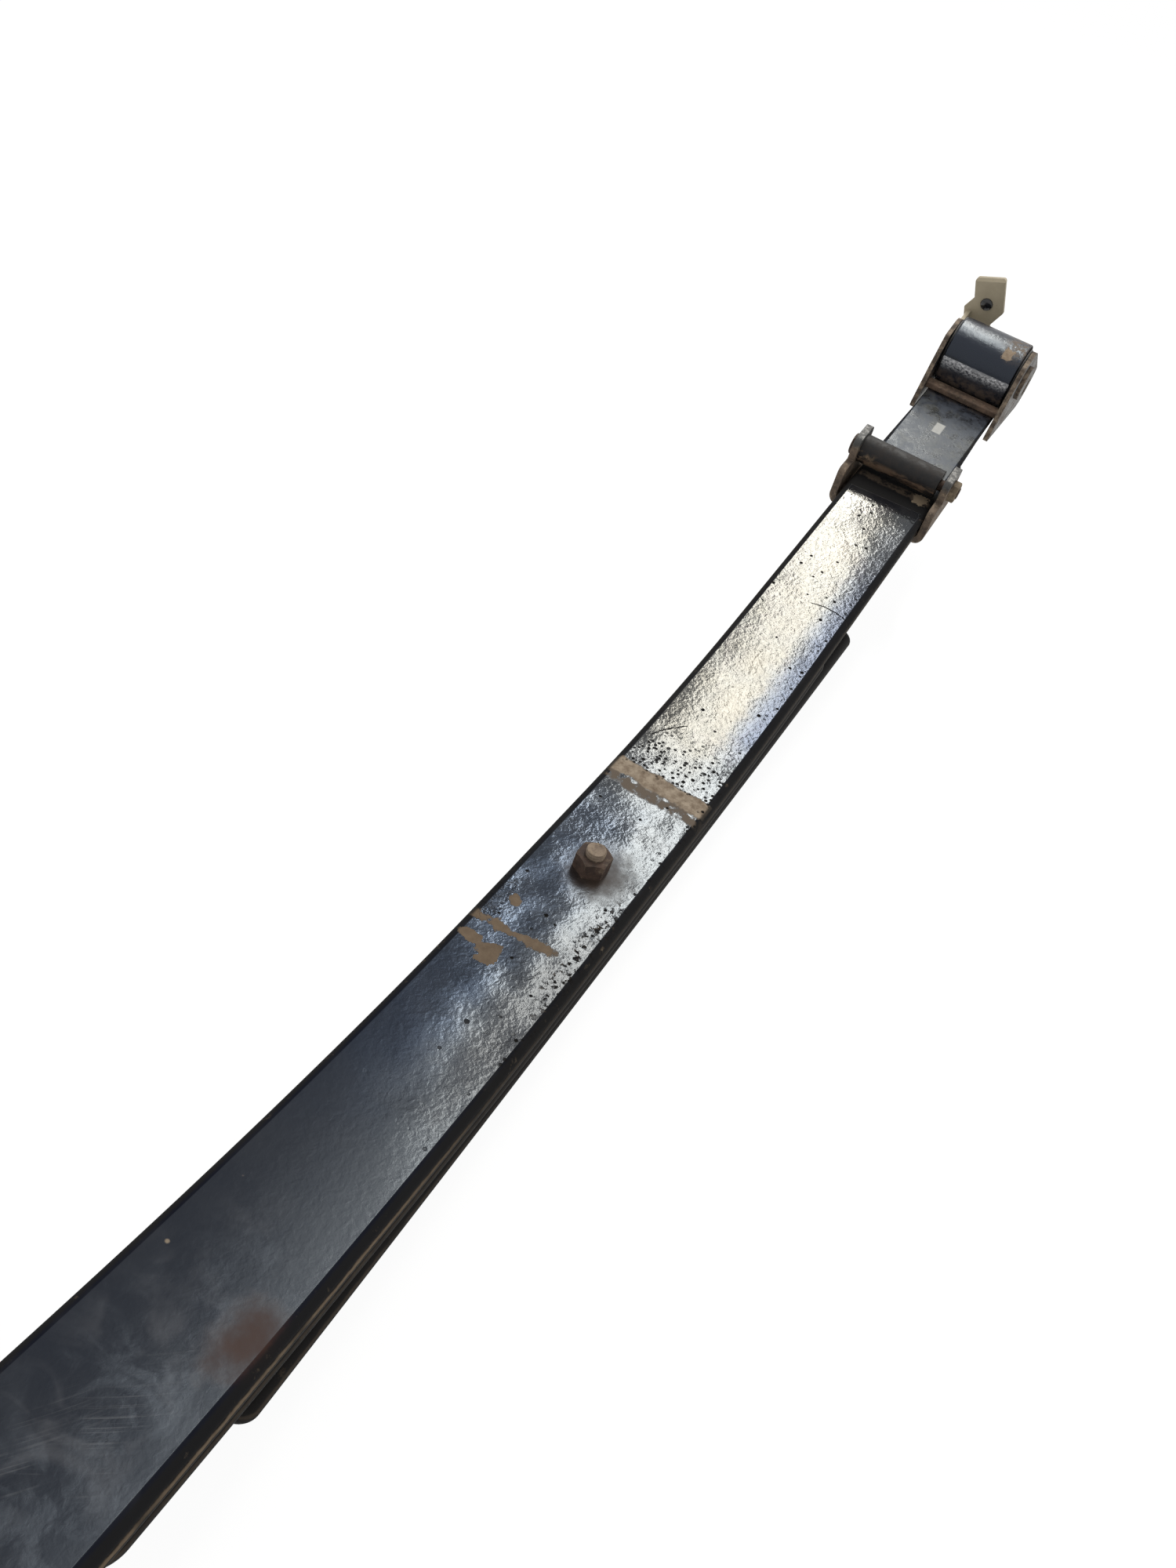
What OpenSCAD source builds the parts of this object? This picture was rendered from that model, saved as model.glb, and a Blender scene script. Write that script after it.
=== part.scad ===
/* [Leaves] */
// Width of every leaf
leaf_w = 60; // [50:1:70]
// Thickness of the main leaf
main_t = 8; // [6:0.5:10]
// Thickness of the second leaf
second_t = 8; // [6:0.5:10]
// Thickness of the third leaf
third_t = 8; // [6:0.5:10]
// Thickness of the overload leaf
overload_t = 9; // [7:0.5:12]
// Gap between two neighbouring leaves
leaf_gap = 0.2; // [0.1:0.05:0.3]
// Half length of the flat seat on each side of the centre bolt
seat_half = 45; // [35:1:60]
// Corner radius of the leaf tips, seen from above
tip_r = 14; // [6:1:24]

/* [Rear half] */
// Radius of the main leaf's top face behind the seat
rear_bend_r = 1070; // [950:5:1200]
// Angle through which the rear half is bent
rear_bend_deg = 10.5; // [9:0.5:12]
// Distance from the centre bolt to the rear eye
rear_eye_x = 588; // [570:1:620]
// Reach of the second leaf behind the centre bolt
second_rear = 508; // [490:1:530]
// Reach of the third leaf behind the centre bolt
third_rear = 265; // [230:1:300]
// Reach of the overload leaf behind the centre bolt
overload_rear = 338; // [300:1:360]

/* [Front half] */
// Radius of the main leaf's top face ahead of the seat
front_bend_r = 1272; // [1150:5:1400]
// Angle through which the front half is bent
front_bend_deg = 14; // [12:0.5:15]
// Distance from the centre bolt to the front eye
front_eye_x = 640; // [620:1:680]
// Reach of the second leaf ahead of the centre bolt
second_front = 560; // [535:1:575]
// Reach of the third leaf ahead of the centre bolt
third_front = 338; // [310:1:360]
// Reach of the overload leaf ahead of the centre bolt
overload_front = 275; // [240:1:300]

/* [Overload leaf] */
// Radius of the overload leaf's top face, which stays nearly flat
overload_bend_r = 6000; // [4000:100:9000]
// Corner radius of the overload leaf's tips, seen from above
overload_tip_r = 7; // [4:0.5:12]

/* [Eyes] */
// Inner radius of the rear rolled eye
rear_eye_r = 18.5; // [17:0.5:22]
// Width of the rear eye, to which the main leaf narrows
rear_eye_w = 55; // [52:0.5:58]
// Distance ahead of the rear eye where the main leaf reaches that width
taper_end = 55; // [50:1:70]
// Inner radius of the front rolled eye
front_eye_r = 22.5; // [20:0.5:26]
// Angle left open between the end of a roll and the leaf under it
eye_lip_deg = 3; // [1:0.5:8]

/* [Bushes] */
// Wall of the steel shell pressed into an eye
shell_t = 2; // [1:0.5:3]
// Outer radius of the rear inner sleeve
rear_sleeve_r = 10; // [9.5:0.5:12]
// Outer radius of the front inner sleeve
front_sleeve_r = 12; // [10:0.5:15]
// Radius of the bolt hole in the front inner sleeve
front_bore_r = 7.1; // [6:0.1:8]
// Length of the front sleeve past each side of the leaf
front_sleeve_out = 2; // [1:0.5:4]
// Thickness of the rear rubber flanges
flange_t = 1.7; // [1:0.1:3]
// Width of the rear rubber flanges outside the eye's bore
flange_lip = 5; // [3:0.5:7]
// Gap left between the two rear rubber halves
rubber_split = 0.5; // [0.3:0.1:2]

/* [Centre bolt] */
// Diameter of the centre bolt
centre_bolt_d = 10; // [8:0.5:12]
// Diameter of the round dowel head under the leaves
dowel_d = 17; // [14:0.5:20]
// Height of the dowel head
dowel_h = 10; // [6:0.5:14]
// Width across the flats of the centre nut
centre_nut_af = 16; // [14:0.5:19]
// Height of the centre nut
centre_nut_h = 9.5; // [7:0.5:12]
// Length of thread standing past the centre nut
centre_bolt_out = 4; // [1:0.5:8]
// Depth of the spot faces under the dowel head and the nut
spot_depth = 0.3; // [0.1:0.1:1]
// Room round the dowel head and the nut in their spot faces
spot_room = 0.6; // [0.3:0.1:2]

/* [Clips] */
// Distance from the centre bolt to the rear clip
rear_clip_x = 432; // [400:1:445]
// Distance from the centre bolt to the front clip
front_clip_x = 470; // [440:1:490]
// Thickness of the clip strap
clip_t = 5; // [3:0.5:6]
// Room between the leaf's edge and the strap
clip_side_gap = 2; // [1.75:0.25:4]
// Shift of the clips towards the left
clip_shift = 1.5; // [0.5:0.25:1.75]
// Inner bend radius of the strap
clip_bend_r = 4; // [2:0.5:4]
// Half width of an ear along the leaf
ear_half = 13; // [12:0.5:16]
// Height of the ears above the main leaf
ear_h = 25; // [23:0.5:30]
// Corner radius at the top of an ear
ear_r = 5; // [3:0.5:8]
// Length of the wide lower strap towards the centre bolt
strap_ahead = 28; // [20:1:34]
// Height of the strap's shoulder above the main leaf
shoulder_h = 8; // [4:0.5:10]
// Length of the strap's low rear lip behind the ears
strap_behind = 10; // [4:0.5:12]
// Depth of the strap's low rear lip below the main leaf's top face
strap_lip_drop = 10; // [9:0.5:12]
// Corner radius of the wide lower strap
strap_r = 4; // [2:0.5:6]
// Height of the clip bolt's axis above the main leaf
tube_h = 12.5; // [12:0.5:14]
// Outer diameter of the spacer tube
tube_d = 20; // [16:0.5:22]
// Room between the spacer tube and the right ear
tube_room = 4; // [2:0.5:6]
// Diameter of the clip bolt
clip_bolt_d = 8; // [6:0.5:10]
// Width across the flats of the clip bolt's head and nut
clip_af = 13; // [11:0.5:16]
// Height of the clip bolt's head
clip_head_h = 3; // [2:0.5:5]
// Height of the clip nut
clip_nut_h = 5; // [4:0.5:8]
// Length of thread standing past the clip nut
clip_bolt_out = 0.75; // [0.5:0.25:3]
// Diameter of the clip rivet
rivet_d = 8; // [6:0.5:10]
// Radius of the clip rivet's head
rivet_head_r = 7.5; // [6:0.5:9]
// Height of the clip rivet's head
rivet_head_h = 4; // [2:0.5:6]

/* [Tip buttons] */
// Radius of a tip button's disc
button_r = 11; // [8:0.5:13]
// Depth of the disc's seat in the leaf
button_seat = 2.5; // [1.5:0.25:4]
// Radius of a tip button's stem
button_stem_r = 5; // [3:0.5:6]
// Distance from a leaf's tip to its button
button_back = 24; // [20:1:30]

/* [Shackle] */
// Thickness of the shackle plates
plate_t = 3.5; // [3:0.25:5]
// Side gap between the rubber flanges and the plates
plate_gap = 0.3; // [0.2:0.05:0.5]
// Width of a plate's head round the eye, outside the eye's bore
plate_head = 4.5; // [3:0.5:6]
// Distance along the leaf from the eye to the frame pivot
pivot_along = 57; // [52:0.5:65]
// Distance of the frame pivot below the eye, square to the leaf
pivot_drop = 33; // [26:0.5:38]
// Radius of a plate's end round the frame pivot
pivot_end_r = 18; // [15:0.5:21]
// Radius of the frame pivot's bolt hole
pivot_bore_r = 7.2; // [6:0.1:8]
// Radius of the shackle pin
pin_r = 7; // [6:0.25:8]
// Radius of the shackle pin's flat head
pin_head_r = 13; // [11:0.5:15]
// Thickness of the shackle pin's flat head
pin_head_t = 3; // [2:0.25:4]
// Radius of the collar on the end of the pin
collar_r = 10; // [9.5:0.5:12]
// Thickness of the collar
collar_t = 2.5; // [1.5:0.25:4]
// Height of the cross web above the main leaf
web_gap = 0.8; // [0.5:0.1:2]
// Thickness of the cross web
web_h = 5; // [3:0.5:7]
// Depth of the cross web along the leaf
web_d = 9; // [5:0.5:12]
// Room between the cross web and the roll
web_room = 2; // [1:0.25:4]
// Length of the plates' toes ahead of the web
toe_ahead = 14; // [2:0.5:18]
// Depth of the toes below the main leaf's top face
toe_drop = 12; // [7:0.5:13]
// Distance of the plates' knees ahead of the eye
knee_ahead = 29.5; // [26:0.5:31]
// Distance of the knees below the eye
knee_drop = 3; // [0:0.5:6]
// Radius of the knees
knee_r = 6; // [4:0.5:8]
// Distance from the eye back to the plates' upper corners
brow_back = 18.5; // [14:0.5:22]
// Height of the plates' upper corners above the eye
brow_up = 16.5; // [12:0.5:20]
// Corner radius of the plates
plate_corner_r = 4; // [2:0.5:6]

/* [Cable bracket] */
// Sheet thickness of the bracket
bracket_t = 3; // [1.5:0.25:4]
// Distance from the eye to the far face of the tab
tab_along = 55; // [52:0.5:60]
// Height of the tab's hole above the eye, square to the leaf
tab_hole_up = 18.3; // [16:0.1:21]
// Distance of the tab's hole inside the left plate's outer face
tab_hole_in = 9.3; // [8:0.1:12]
// Radius of the tab's hole
tab_hole_r = 4.9; // [3:0.1:6]
// Width of the tab on the hole's inner side
tab_inner_w = 13.7; // [10:0.1:16]
// Width of the tab on the hole's outer side
tab_outer_w = 10; // [8:0.5:13]
// Height of the tab's fold above its hole
tab_above = 17.8; // [14:0.2:22]
// Height of the tab below its hole
tab_below = 16.4; // [12:0.2:20]
// Corner radius at the tab's top
tab_corner_r = 2.5; // [1.5:0.25:3]
// Length of the corner cut off the tab's inner foot, along each edge
tab_chamfer = 8.5; // [5:0.5:10]
// Lean of the tab towards the left
tab_lean_deg = 20; // [10:1:25]
// Height of the lip above the tab's fold
lip_up = 2.4; // [2:0.2:5]
// Distance that the lip leans back
lip_back = 2.6; // [1:0.2:4]
// Width of the tab's foot across the spring
foot_w = 23; // [18:0.5:28]
// Height of the tab's foot
foot_h = 11; // [8:0.5:14]
// Distance of the foot's lower edge below the eye, square to the leaf
foot_drop = 2; // [0:0.5:4]
// Distance that the foot's outer corner stands outside the leg
foot_flare = 3.5; // [1:0.25:5]
// Height of the foot's outer corner above the eye, square to the leaf
flare_up = 10; // [6:0.5:12]
// Distance along the leaf from the eye to the bracket's rivet
bracket_rivet_along = 28; // [26:0.5:34]
// Distance of the bracket's rivet below the eye, square to the leaf
bracket_rivet_drop = 4; // [2:0.5:8]
// Radius of the bracket's rivet
bracket_rivet_r = 3; // [2:0.25:4]
// Radius of the bracket's end round its rivet
bracket_end_r = 9; // [7:0.5:11]
// Corner radius of the bracket's leg
bracket_corner_r = 2; // [1:0.5:4]
// Radius of the plug's rim behind the tab
plug_rim_r = 6.5; // [5.5:0.25:8]
// Thickness of the plug's rim
plug_rim_t = 2; // [1:0.25:3]
// Depth of the plug's face inside the tab's hole
plug_inset = 0.5; // [0.2:0.1:1]

/* [Fits] */
// Radial clearance of a bush or pin that is pressed in place
press_gap = 0.05; // [0.02:0.01:0.1]
// Radial clearance between rubber and a turning sleeve
turn_gap = 0.05; // [0.02:0.01:0.1]
// Radial clearance round bolts and rivets
bolt_gap = 0.25; // [0.1:0.05:0.5]

/* [Hidden] */
$fn = 96;
// Facets of a full turn of the long leaf bends
bend_fn = 1440;
// Lap of a straight run inside the bend that it leaves
run_lap = 1;
// How far a straight stretch is drawn in where it leaves a round one
skin = 0.02;
// Extra length of every cutting solid past the face that it cuts
cut = 1;

// Depth of each leaf's top face below the main leaf's top face
second_depth = main_t + leaf_gap;
third_depth = second_depth + second_t + leaf_gap;
overload_depth = third_depth + third_t + leaf_gap;
// Height of the main leaf's top face over the seat
top_z = overload_depth + overload_t;
// Radius of the hole for the centre bolt, and of the spot faces under its head and its nut
bolt_hole_r = centre_bolt_d / 2 + bolt_gap;
dowel_spot_r = dowel_d / 2 + spot_room;
nut_spot_r = centre_nut_af / 2 / cos(30) + spot_room;
// Height of the spot face that the nut stands on
nut_z = top_z - spot_depth;

// Distance from the centre bolt to where each eye starts to roll
rear_roll_x = rear_eye_x + rear_eye_r * sin(rear_bend_deg);
front_roll_x = front_eye_x + front_eye_r * sin(front_bend_deg);
// Half width of the rear eye
eye_half = rear_eye_w / 2;

// Half distance between the clip's ears, and depth of the strap's floor
clip_half = leaf_w / 2 + clip_side_gap;
clip_out = clip_half + clip_t;
clip_floor = second_depth + second_t;
rivet_hole_r = rivet_d / 2 + bolt_gap;
clip_hole_r = clip_bolt_d / 2 + bolt_gap;

// Inner and outer faces of the shackle plates
plate_in = eye_half + flange_t + plate_gap;
plate_out = plate_in + plate_t;
// Radius of the rear roll, and the web's place ahead of it
roll_r = rear_eye_r + main_t;
web_low = -rear_eye_r + web_gap;
web_far = -sqrt(roll_r * roll_r - (web_low + web_h) * (web_low + web_h)) - web_room;
web_near = web_far - web_d;
pin_hole_r = pin_r + press_gap;
// Corner radius of the web's section
web_r = web_h / 4;
// Outer face of the bracket's leg
leg_out = plate_out + bracket_t;

// Places children on the main leaf's top face, a level distance from the centre bolt
module along(x, bend_r, bend_deg) {
    turn = min(bend_deg, asin(min(1, (x - seat_half) / bend_r)));
    run = max(0, (x - seat_half - bend_r * sin(bend_deg)) / cos(bend_deg));
    translate([seat_half, 0, top_z + bend_r])
        rotate([0, -turn, 0])
            translate([run, 0, -bend_r])
                children();
}
module rear_at(x) {
    along(x, rear_bend_r, rear_bend_deg) children();
}
module front_at(x) {
    mirror([1, 0, 0]) along(x, front_bend_r, front_bend_deg) children();
}
// Places children at the rear and the front eye's axis, with X along the leaf
module at_rear_eye() {
    rear_at(rear_roll_x) translate([0, 0, rear_eye_r]) children();
}
module at_front_eye() {
    front_at(front_roll_x) translate([0, 0, front_eye_r]) children();
}
// Extrudes an outline drawn in X and Z across the spring, from y_left towards the right
module across(y_left, depth) {
    translate([0, y_left, 0]) rotate([90, 0, 0]) linear_extrude(depth) children();
}
// Extrudes an outline drawn in Y and Z along the leaf
module lengthwise(x_start, depth) {
    translate([x_start, 0, 0]) rotate([90, 0, 90]) linear_extrude(depth) children();
}

// Direction from a circle's centre to the outer tangent that leads on to the next circle
function band_normal(a, b) =
    let (d = [b[0] - a[0], b[1] - a[1]], l = norm(d), k = (a[2] - b[2]) / l, s = sqrt(1 - k * k))
    [(d[0] * k + d[1] * s) / l, (d[1] * k - d[0] * s) / l];
function on_circle(c, n, inset) = [c[0] + (c[2] - inset) * n[0], c[1] + (c[2] - inset) * n[1]];
// Outline of a band pulled tight round circles [x, y, radius], listed anticlockwise, whose straight
// stretches are drawn in by an inset
module band(circles, inset = 0) {
    count = len(circles);
    for (c = circles) translate([c[0], c[1]]) circle(c[2]);
    polygon([
        for (i = [0 : count - 1])
            let (a = circles[i], b = circles[(i + 1) % count], n = band_normal(a, b))
                each [on_circle(a, n, inset), on_circle(b, n, inset)]
    ]);
}
// Rectangle with round corners
module round_rect(x0, y0, x1, y1, r) {
    band([[x0 + r, y0 + r, r], [x1 - r, y0 + r, r], [x1 - r, y1 - r, r], [x0 + r, y1 - r, r]]);
}
// Ring between two radii, its length centred on the spring's middle plane
module tube(r_out, r_in, length) {
    across(length / 2, length) difference() {
        circle(r_out);
        circle(r_in);
    }
}
// Hexagon with its corners turned off at the top, standing on Z = 0
module hex_head(af, h) {
    corner = af / 2 / cos(30);
    intersection() {
        cylinder(r = corner, h = h, $fn = 6);
        rotate_extrude() polygon([
            [0, 0], [corner, 0], [corner, h - (corner - af / 2) * tan(30)], [af / 2, h], [0, h]
        ]);
    }
}
// Low round-topped head of radius r, standing on Z = 0
module dome(r, h) {
    ball = (r * r + h * h) / (2 * h);
    rotate_extrude() intersection() {
        translate([0, h - ball]) circle(ball);
        square([r, h]);
    }
}

// Section of a leaf with round edges, its thickness along +X, drawn in by an inset all round
module leaf_section(t, inset = 0) {
    edge_r = t / 2 - inset;
    edge_y = (leaf_w - t) / 2;
    translate([inset, -edge_y]) square([2 * edge_r, 2 * edge_y]);
    for (side = [-1, 1]) translate([t / 2, side * edge_y]) circle(edge_r);
}
// One half of a leaf outside the seat: a bend, then a straight run that starts inside the bend
module half_leaf(depth, t, bend_r, bend_deg, run) {
    translate([seat_half, 0, top_z + bend_r]) {
        rotate([90, 90, 0])
            rotate_extrude(angle = bend_deg, $fn = bend_fn)
                translate([bend_r + depth, 0]) leaf_section(t);
        rotate([0, -bend_deg, 0])
            translate([-run_lap, 0, -bend_r - depth])
                rotate([0, 90, 0]) linear_extrude(run + run_lap) leaf_section(t, skin);
    }
}
module seat(depth, t) {
    translate([-seat_half, 0, top_z - depth])
        rotate([0, 90, 0]) linear_extrude(2 * seat_half) leaf_section(t);
}
module centre_hole() {
    translate([0, 0, -cut]) cylinder(r = bolt_hole_r, h = top_z + 2 * cut);
}
// Upright prism that trims a leaf to its reach and rounds its tips
module tip_trim(front, rear, r) {
    translate([0, 0, -cut])
        linear_extrude(top_z + rear_eye_x)
            round_rect(-front, -leaf_w / 2 - cut, rear, leaf_w / 2 + cut, r + cut);
}
// A leaf that nests under the main leaf
module nested_leaf(depth, t, front, rear) {
    intersection() {
        union() {
            seat(depth, t);
            half_leaf(depth, t, rear_bend_r, rear_bend_deg, rear);
            mirror([1, 0, 0]) half_leaf(depth, t, front_bend_r, front_bend_deg, front);
        }
        tip_trim(front, rear, tip_r);
    }
}
// Rolled eye at the end of the main leaf
module roll(eye_r) {
    rotate([90, 90, 0])
        rotate_extrude(angle = 360 - acos(eye_r / (eye_r + main_t)) - eye_lip_deg, $fn = 4 * $fn)
            translate([eye_r, 0]) leaf_section(main_t, skin);
}
// Upright wedges that narrow the main leaf from the rear clip to the rear eye
module eye_taper() {
    start = rear_clip_x + ear_half;
    end = rear_eye_x - taper_end;
    side = leaf_w / 2 + cut;
    for (y = [-1, 1])
        linear_extrude(top_z + rear_eye_x) polygon([
            [start, y * leaf_w / 2], [end, y * eye_half], [end + 2 * taper_end, y * eye_half],
            [end + 2 * taper_end, y * side], [start, y * side]
        ]);
}
// Places children at the two tip buttons of a leaf, on the leaf's top face
module at_buttons(depth, front, rear) {
    rear_at(rear - button_back) translate([0, 0, -depth]) children();
    front_at(front - button_back) translate([0, 0, -depth]) children();
}
module button_holes(t) {
    translate([0, 0, -button_seat]) cylinder(r = button_r + press_gap, h = button_seat + cut);
    translate([0, 0, -t - cut]) cylinder(r = button_stem_r + press_gap, h = t + cut);
}
// Button whose disc stands halfway into the gap over its leaf
module button(t) {
    rotate_extrude() polygon([
        [0, leaf_gap / 2], [button_r, leaf_gap / 2], [button_r, -button_seat],
        [button_stem_r, -button_seat], [button_stem_r, -t], [0, -t]
    ]);
}

module main_leaf() {
    color("#26272b") difference() {
        union() {
            seat(0, main_t);
            half_leaf(0, main_t, rear_bend_r, rear_bend_deg,
                (rear_roll_x - seat_half - rear_bend_r * sin(rear_bend_deg)) / cos(rear_bend_deg));
            mirror([1, 0, 0]) half_leaf(0, main_t, front_bend_r, front_bend_deg,
                (front_roll_x - seat_half - front_bend_r * sin(front_bend_deg)) / cos(front_bend_deg));
            at_rear_eye() roll(rear_eye_r);
            at_front_eye() roll(front_eye_r);
        }
        eye_taper();
        centre_hole();
        translate([0, 0, nut_z]) cylinder(r = nut_spot_r, h = spot_depth + cut);
    }
}
module second_leaf() {
    color("#2b2a2c") difference() {
        nested_leaf(second_depth, second_t, second_front, second_rear);
        centre_hole();
        at_buttons(second_depth, second_front, second_rear) button_holes(second_t);
        rear_at(rear_clip_x) clip_rivet_hole();
        front_at(front_clip_x) clip_rivet_hole();
    }
}
module third_leaf() {
    color("#2b2a2c") difference() {
        nested_leaf(third_depth, third_t, third_front, third_rear);
        centre_hole();
        at_buttons(third_depth, third_front, third_rear) button_holes(third_t);
    }
}
module overload_leaf() {
    bend_deg = asin(max(overload_rear, overload_front) / overload_bend_r);
    color("#222225") difference() {
        intersection() {
            union() {
                seat(overload_depth, overload_t);
                for (end = [0, 1]) mirror([end, 0, 0])
                    translate([seat_half, 0, top_z - overload_depth + overload_bend_r])
                        rotate([90, 90, 0]) rotate_extrude(angle = bend_deg, $fn = bend_fn)
                            translate([overload_bend_r, 0]) leaf_section(overload_t);
            }
            tip_trim(overload_front, overload_rear, overload_tip_r);
        }
        centre_hole();
        translate([0, 0, -cut]) cylinder(r = dowel_spot_r, h = spot_depth + cut);
    }
}
module second_leaf_buttons() {
    color("#3a3a38") at_buttons(second_depth, second_front, second_rear) button(second_t);
}
module third_leaf_buttons() {
    color("#3a3a38") at_buttons(third_depth, third_front, third_rear) button(third_t);
}

module centre_bolt() {
    bolt_top = nut_z + centre_nut_h + centre_bolt_out;
    r = centre_bolt_d / 2;
    bevel = r / 5;
    color("#8a7a62") rotate_extrude() polygon([
        [0, -dowel_h], [dowel_d / 2 - bevel, -dowel_h], [dowel_d / 2, -dowel_h + bevel],
        [dowel_d / 2, 0], [dowel_d / 2 - spot_depth, spot_depth],
        [r, spot_depth], [r, bolt_top - bevel], [r - bevel, bolt_top], [0, bolt_top]
    ]);
}
module centre_nut() {
    color("#4d3b30") translate([0, 0, nut_z]) difference() {
        hex_head(centre_nut_af, centre_nut_h);
        translate([0, 0, -cut]) cylinder(r = centre_bolt_d / 2 + press_gap, h = centre_nut_h + 2 * cut);
    }
}

module bush_shell(eye_r, width) {
    tube(eye_r - press_gap, eye_r - press_gap - shell_t, width);
}
function rubber_r(eye_r) = eye_r - 2 * press_gap - shell_t;
module front_bush_shell() {
    color("#6a6a6a") at_front_eye() bush_shell(front_eye_r, leaf_w);
}
module front_bush_rubber() {
    color("#1b1b1b") at_front_eye() tube(rubber_r(front_eye_r), front_sleeve_r + turn_gap, leaf_w);
}
module front_bush_sleeve() {
    color("#8d8f92") at_front_eye() tube(front_sleeve_r, front_bore_r, leaf_w + 2 * front_sleeve_out);
}
module rear_bush_shell() {
    color("#6a6a6a") at_rear_eye() bush_shell(rear_eye_r, rear_eye_w);
}
// Rubber half with a flange at the eye's side, on the left of the middle plane
module rear_rubber() {
    at_rear_eye() difference() {
        union() {
            across(eye_half, eye_half - rubber_split / 2) circle(rubber_r(rear_eye_r));
            across(eye_half + flange_t, flange_t) circle(rear_eye_r + flange_lip);
        }
        across(plate_in, plate_in) circle(rear_sleeve_r + turn_gap);
    }
}
module rear_bush_rubber_left() {
    color("#1b1b1b") rear_rubber();
}
module rear_bush_rubber_right() {
    color("#1b1b1b") mirror([0, 1, 0]) rear_rubber();
}
module rear_bush_sleeve() {
    color("#8d8f92") at_rear_eye() tube(rear_sleeve_r, pin_hole_r, 2 * plate_in);
}

// Trough with round lower corners, open at the top
module trough(half, floor_depth, r, top) {
    translate([-half, r - floor_depth]) square([2 * half, top + floor_depth - r]);
    translate([r - half, -floor_depth]) square([2 * (half - r), floor_depth]);
    for (side = [-1, 1]) translate([side * (half - r), r - floor_depth]) circle(r);
}
// Side outline of the strap: a wide lower part with a low rear lip, and narrower ears
module strap_outline() {
    low = -clip_floor - clip_t - cut;
    round_rect(-ear_half, low, ear_half, ear_h, ear_r);
    round_rect(-strap_ahead, low, ear_half, shoulder_h, strap_r);
    round_rect(-strap_ahead, low, ear_half + strap_behind, -strap_lip_drop, strap_r);
}
module clip_rivet_hole() {
    translate([0, 0, -clip_floor - clip_t - cut]) cylinder(r = rivet_hole_r, h = clip_floor + clip_t);
}
module clip_strap() {
    difference() {
        translate([0, clip_shift, 0]) difference() {
            intersection() {
                lengthwise(-strap_ahead, strap_ahead + ear_half + strap_behind) difference() {
                    trough(clip_out, clip_floor + clip_t, clip_bend_r + clip_t, ear_h);
                    trough(clip_half, clip_floor, clip_bend_r, ear_h + cut);
                }
                across(clip_out, 2 * clip_out) strap_outline();
            }
            translate([0, 0, tube_h]) across(clip_out + cut, 2 * (clip_out + cut)) circle(clip_hole_r);
        }
        clip_rivet_hole();
    }
}
// Tube that stands against the left ear
module clip_tube() {
    translate([0, clip_shift + tube_room / 2, tube_h])
        tube(tube_d / 2, clip_hole_r, 2 * clip_half - tube_room);
}
module clip_bolt() {
    length = 2 * clip_out + clip_nut_h + clip_bolt_out;
    translate([0, clip_shift + clip_out, tube_h]) {
        across(0, length) circle(d = clip_bolt_d);
        rotate([-90, 0, 0]) hex_head(clip_af, clip_head_h);
    }
}
module clip_nut() {
    translate([0, clip_shift - clip_out, tube_h]) rotate([90, 0, 0]) difference() {
        hex_head(clip_af, clip_nut_h);
        translate([0, 0, -cut]) cylinder(r = clip_bolt_d / 2 + press_gap, h = clip_nut_h + 2 * cut);
    }
}
// Rivet up through the strap's floor, flush with the second leaf's top face
module clip_rivet() {
    translate([0, 0, -clip_floor - clip_t]) {
        cylinder(d = rivet_d, h = clip_t + second_t);
        mirror([0, 0, 1]) dome(rivet_head_r, rivet_head_h);
    }
}
module rear_clip_strap() {
    color("#4b3a33") rear_at(rear_clip_x) clip_strap();
}
module rear_clip_tube() {
    color("#3a3634") rear_at(rear_clip_x) clip_tube();
}
module rear_clip_bolt() {
    color("#4f4038") rear_at(rear_clip_x) clip_bolt();
}
module rear_clip_nut() {
    color("#4f4038") rear_at(rear_clip_x) clip_nut();
}
module rear_clip_rivet() {
    color("#4b3a33") rear_at(rear_clip_x) clip_rivet();
}
module front_clip_strap() {
    color("#4b3a33") front_at(front_clip_x) clip_strap();
}
module front_clip_tube() {
    color("#3a3634") front_at(front_clip_x) clip_tube();
}
module front_clip_bolt() {
    color("#4f4038") front_at(front_clip_x) clip_bolt();
}
module front_clip_nut() {
    color("#4f4038") front_at(front_clip_x) clip_nut();
}
module front_clip_rivet() {
    color("#4b3a33") front_at(front_clip_x) clip_rivet();
}

// Plate from its toe at the web, round the eye, to the frame pivot
module shackle_outline() {
    difference() {
        band([
            [web_near - toe_ahead + plate_corner_r, -rear_eye_r - toe_drop + plate_corner_r, plate_corner_r],
            [pivot_along, -pivot_drop, pivot_end_r],
            [0, 0, rear_eye_r + plate_head],
            [-brow_back, brow_up, plate_corner_r],
            [-knee_ahead, -knee_drop, knee_r]
        ], skin);
        circle(pin_hole_r);
        translate([pivot_along, -pivot_drop]) circle(pivot_bore_r);
    }
}
module shackle_plate_left() {
    color("#5b5347") at_rear_eye() difference() {
        across(plate_out, plate_t) shackle_outline();
        across(plate_out + cut, plate_t + 2 * cut)
            translate([bracket_rivet_along, -bracket_rivet_drop]) circle(bracket_rivet_r + press_gap);
    }
}
module shackle_plate_right() {
    color("#5b5347") at_rear_eye() across(-plate_in, plate_t) shackle_outline();
}
module shackle_web() {
    color("#6b5f4c") at_rear_eye()
        across(plate_in, 2 * plate_in) round_rect(web_near, web_low, web_far, web_low + web_h, web_r);
}
module shackle_pin() {
    color("#4a443d") at_rear_eye() {
        across(plate_out + collar_t, 2 * plate_out + collar_t) circle(pin_r);
        across(-plate_out, pin_head_t) circle(pin_head_r);
    }
}
module shackle_pin_collar() {
    color("#4a443d") at_rear_eye() across(plate_out + collar_t, collar_t) difference() {
        circle(collar_r);
        circle(pin_hole_r);
    }
}

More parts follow.
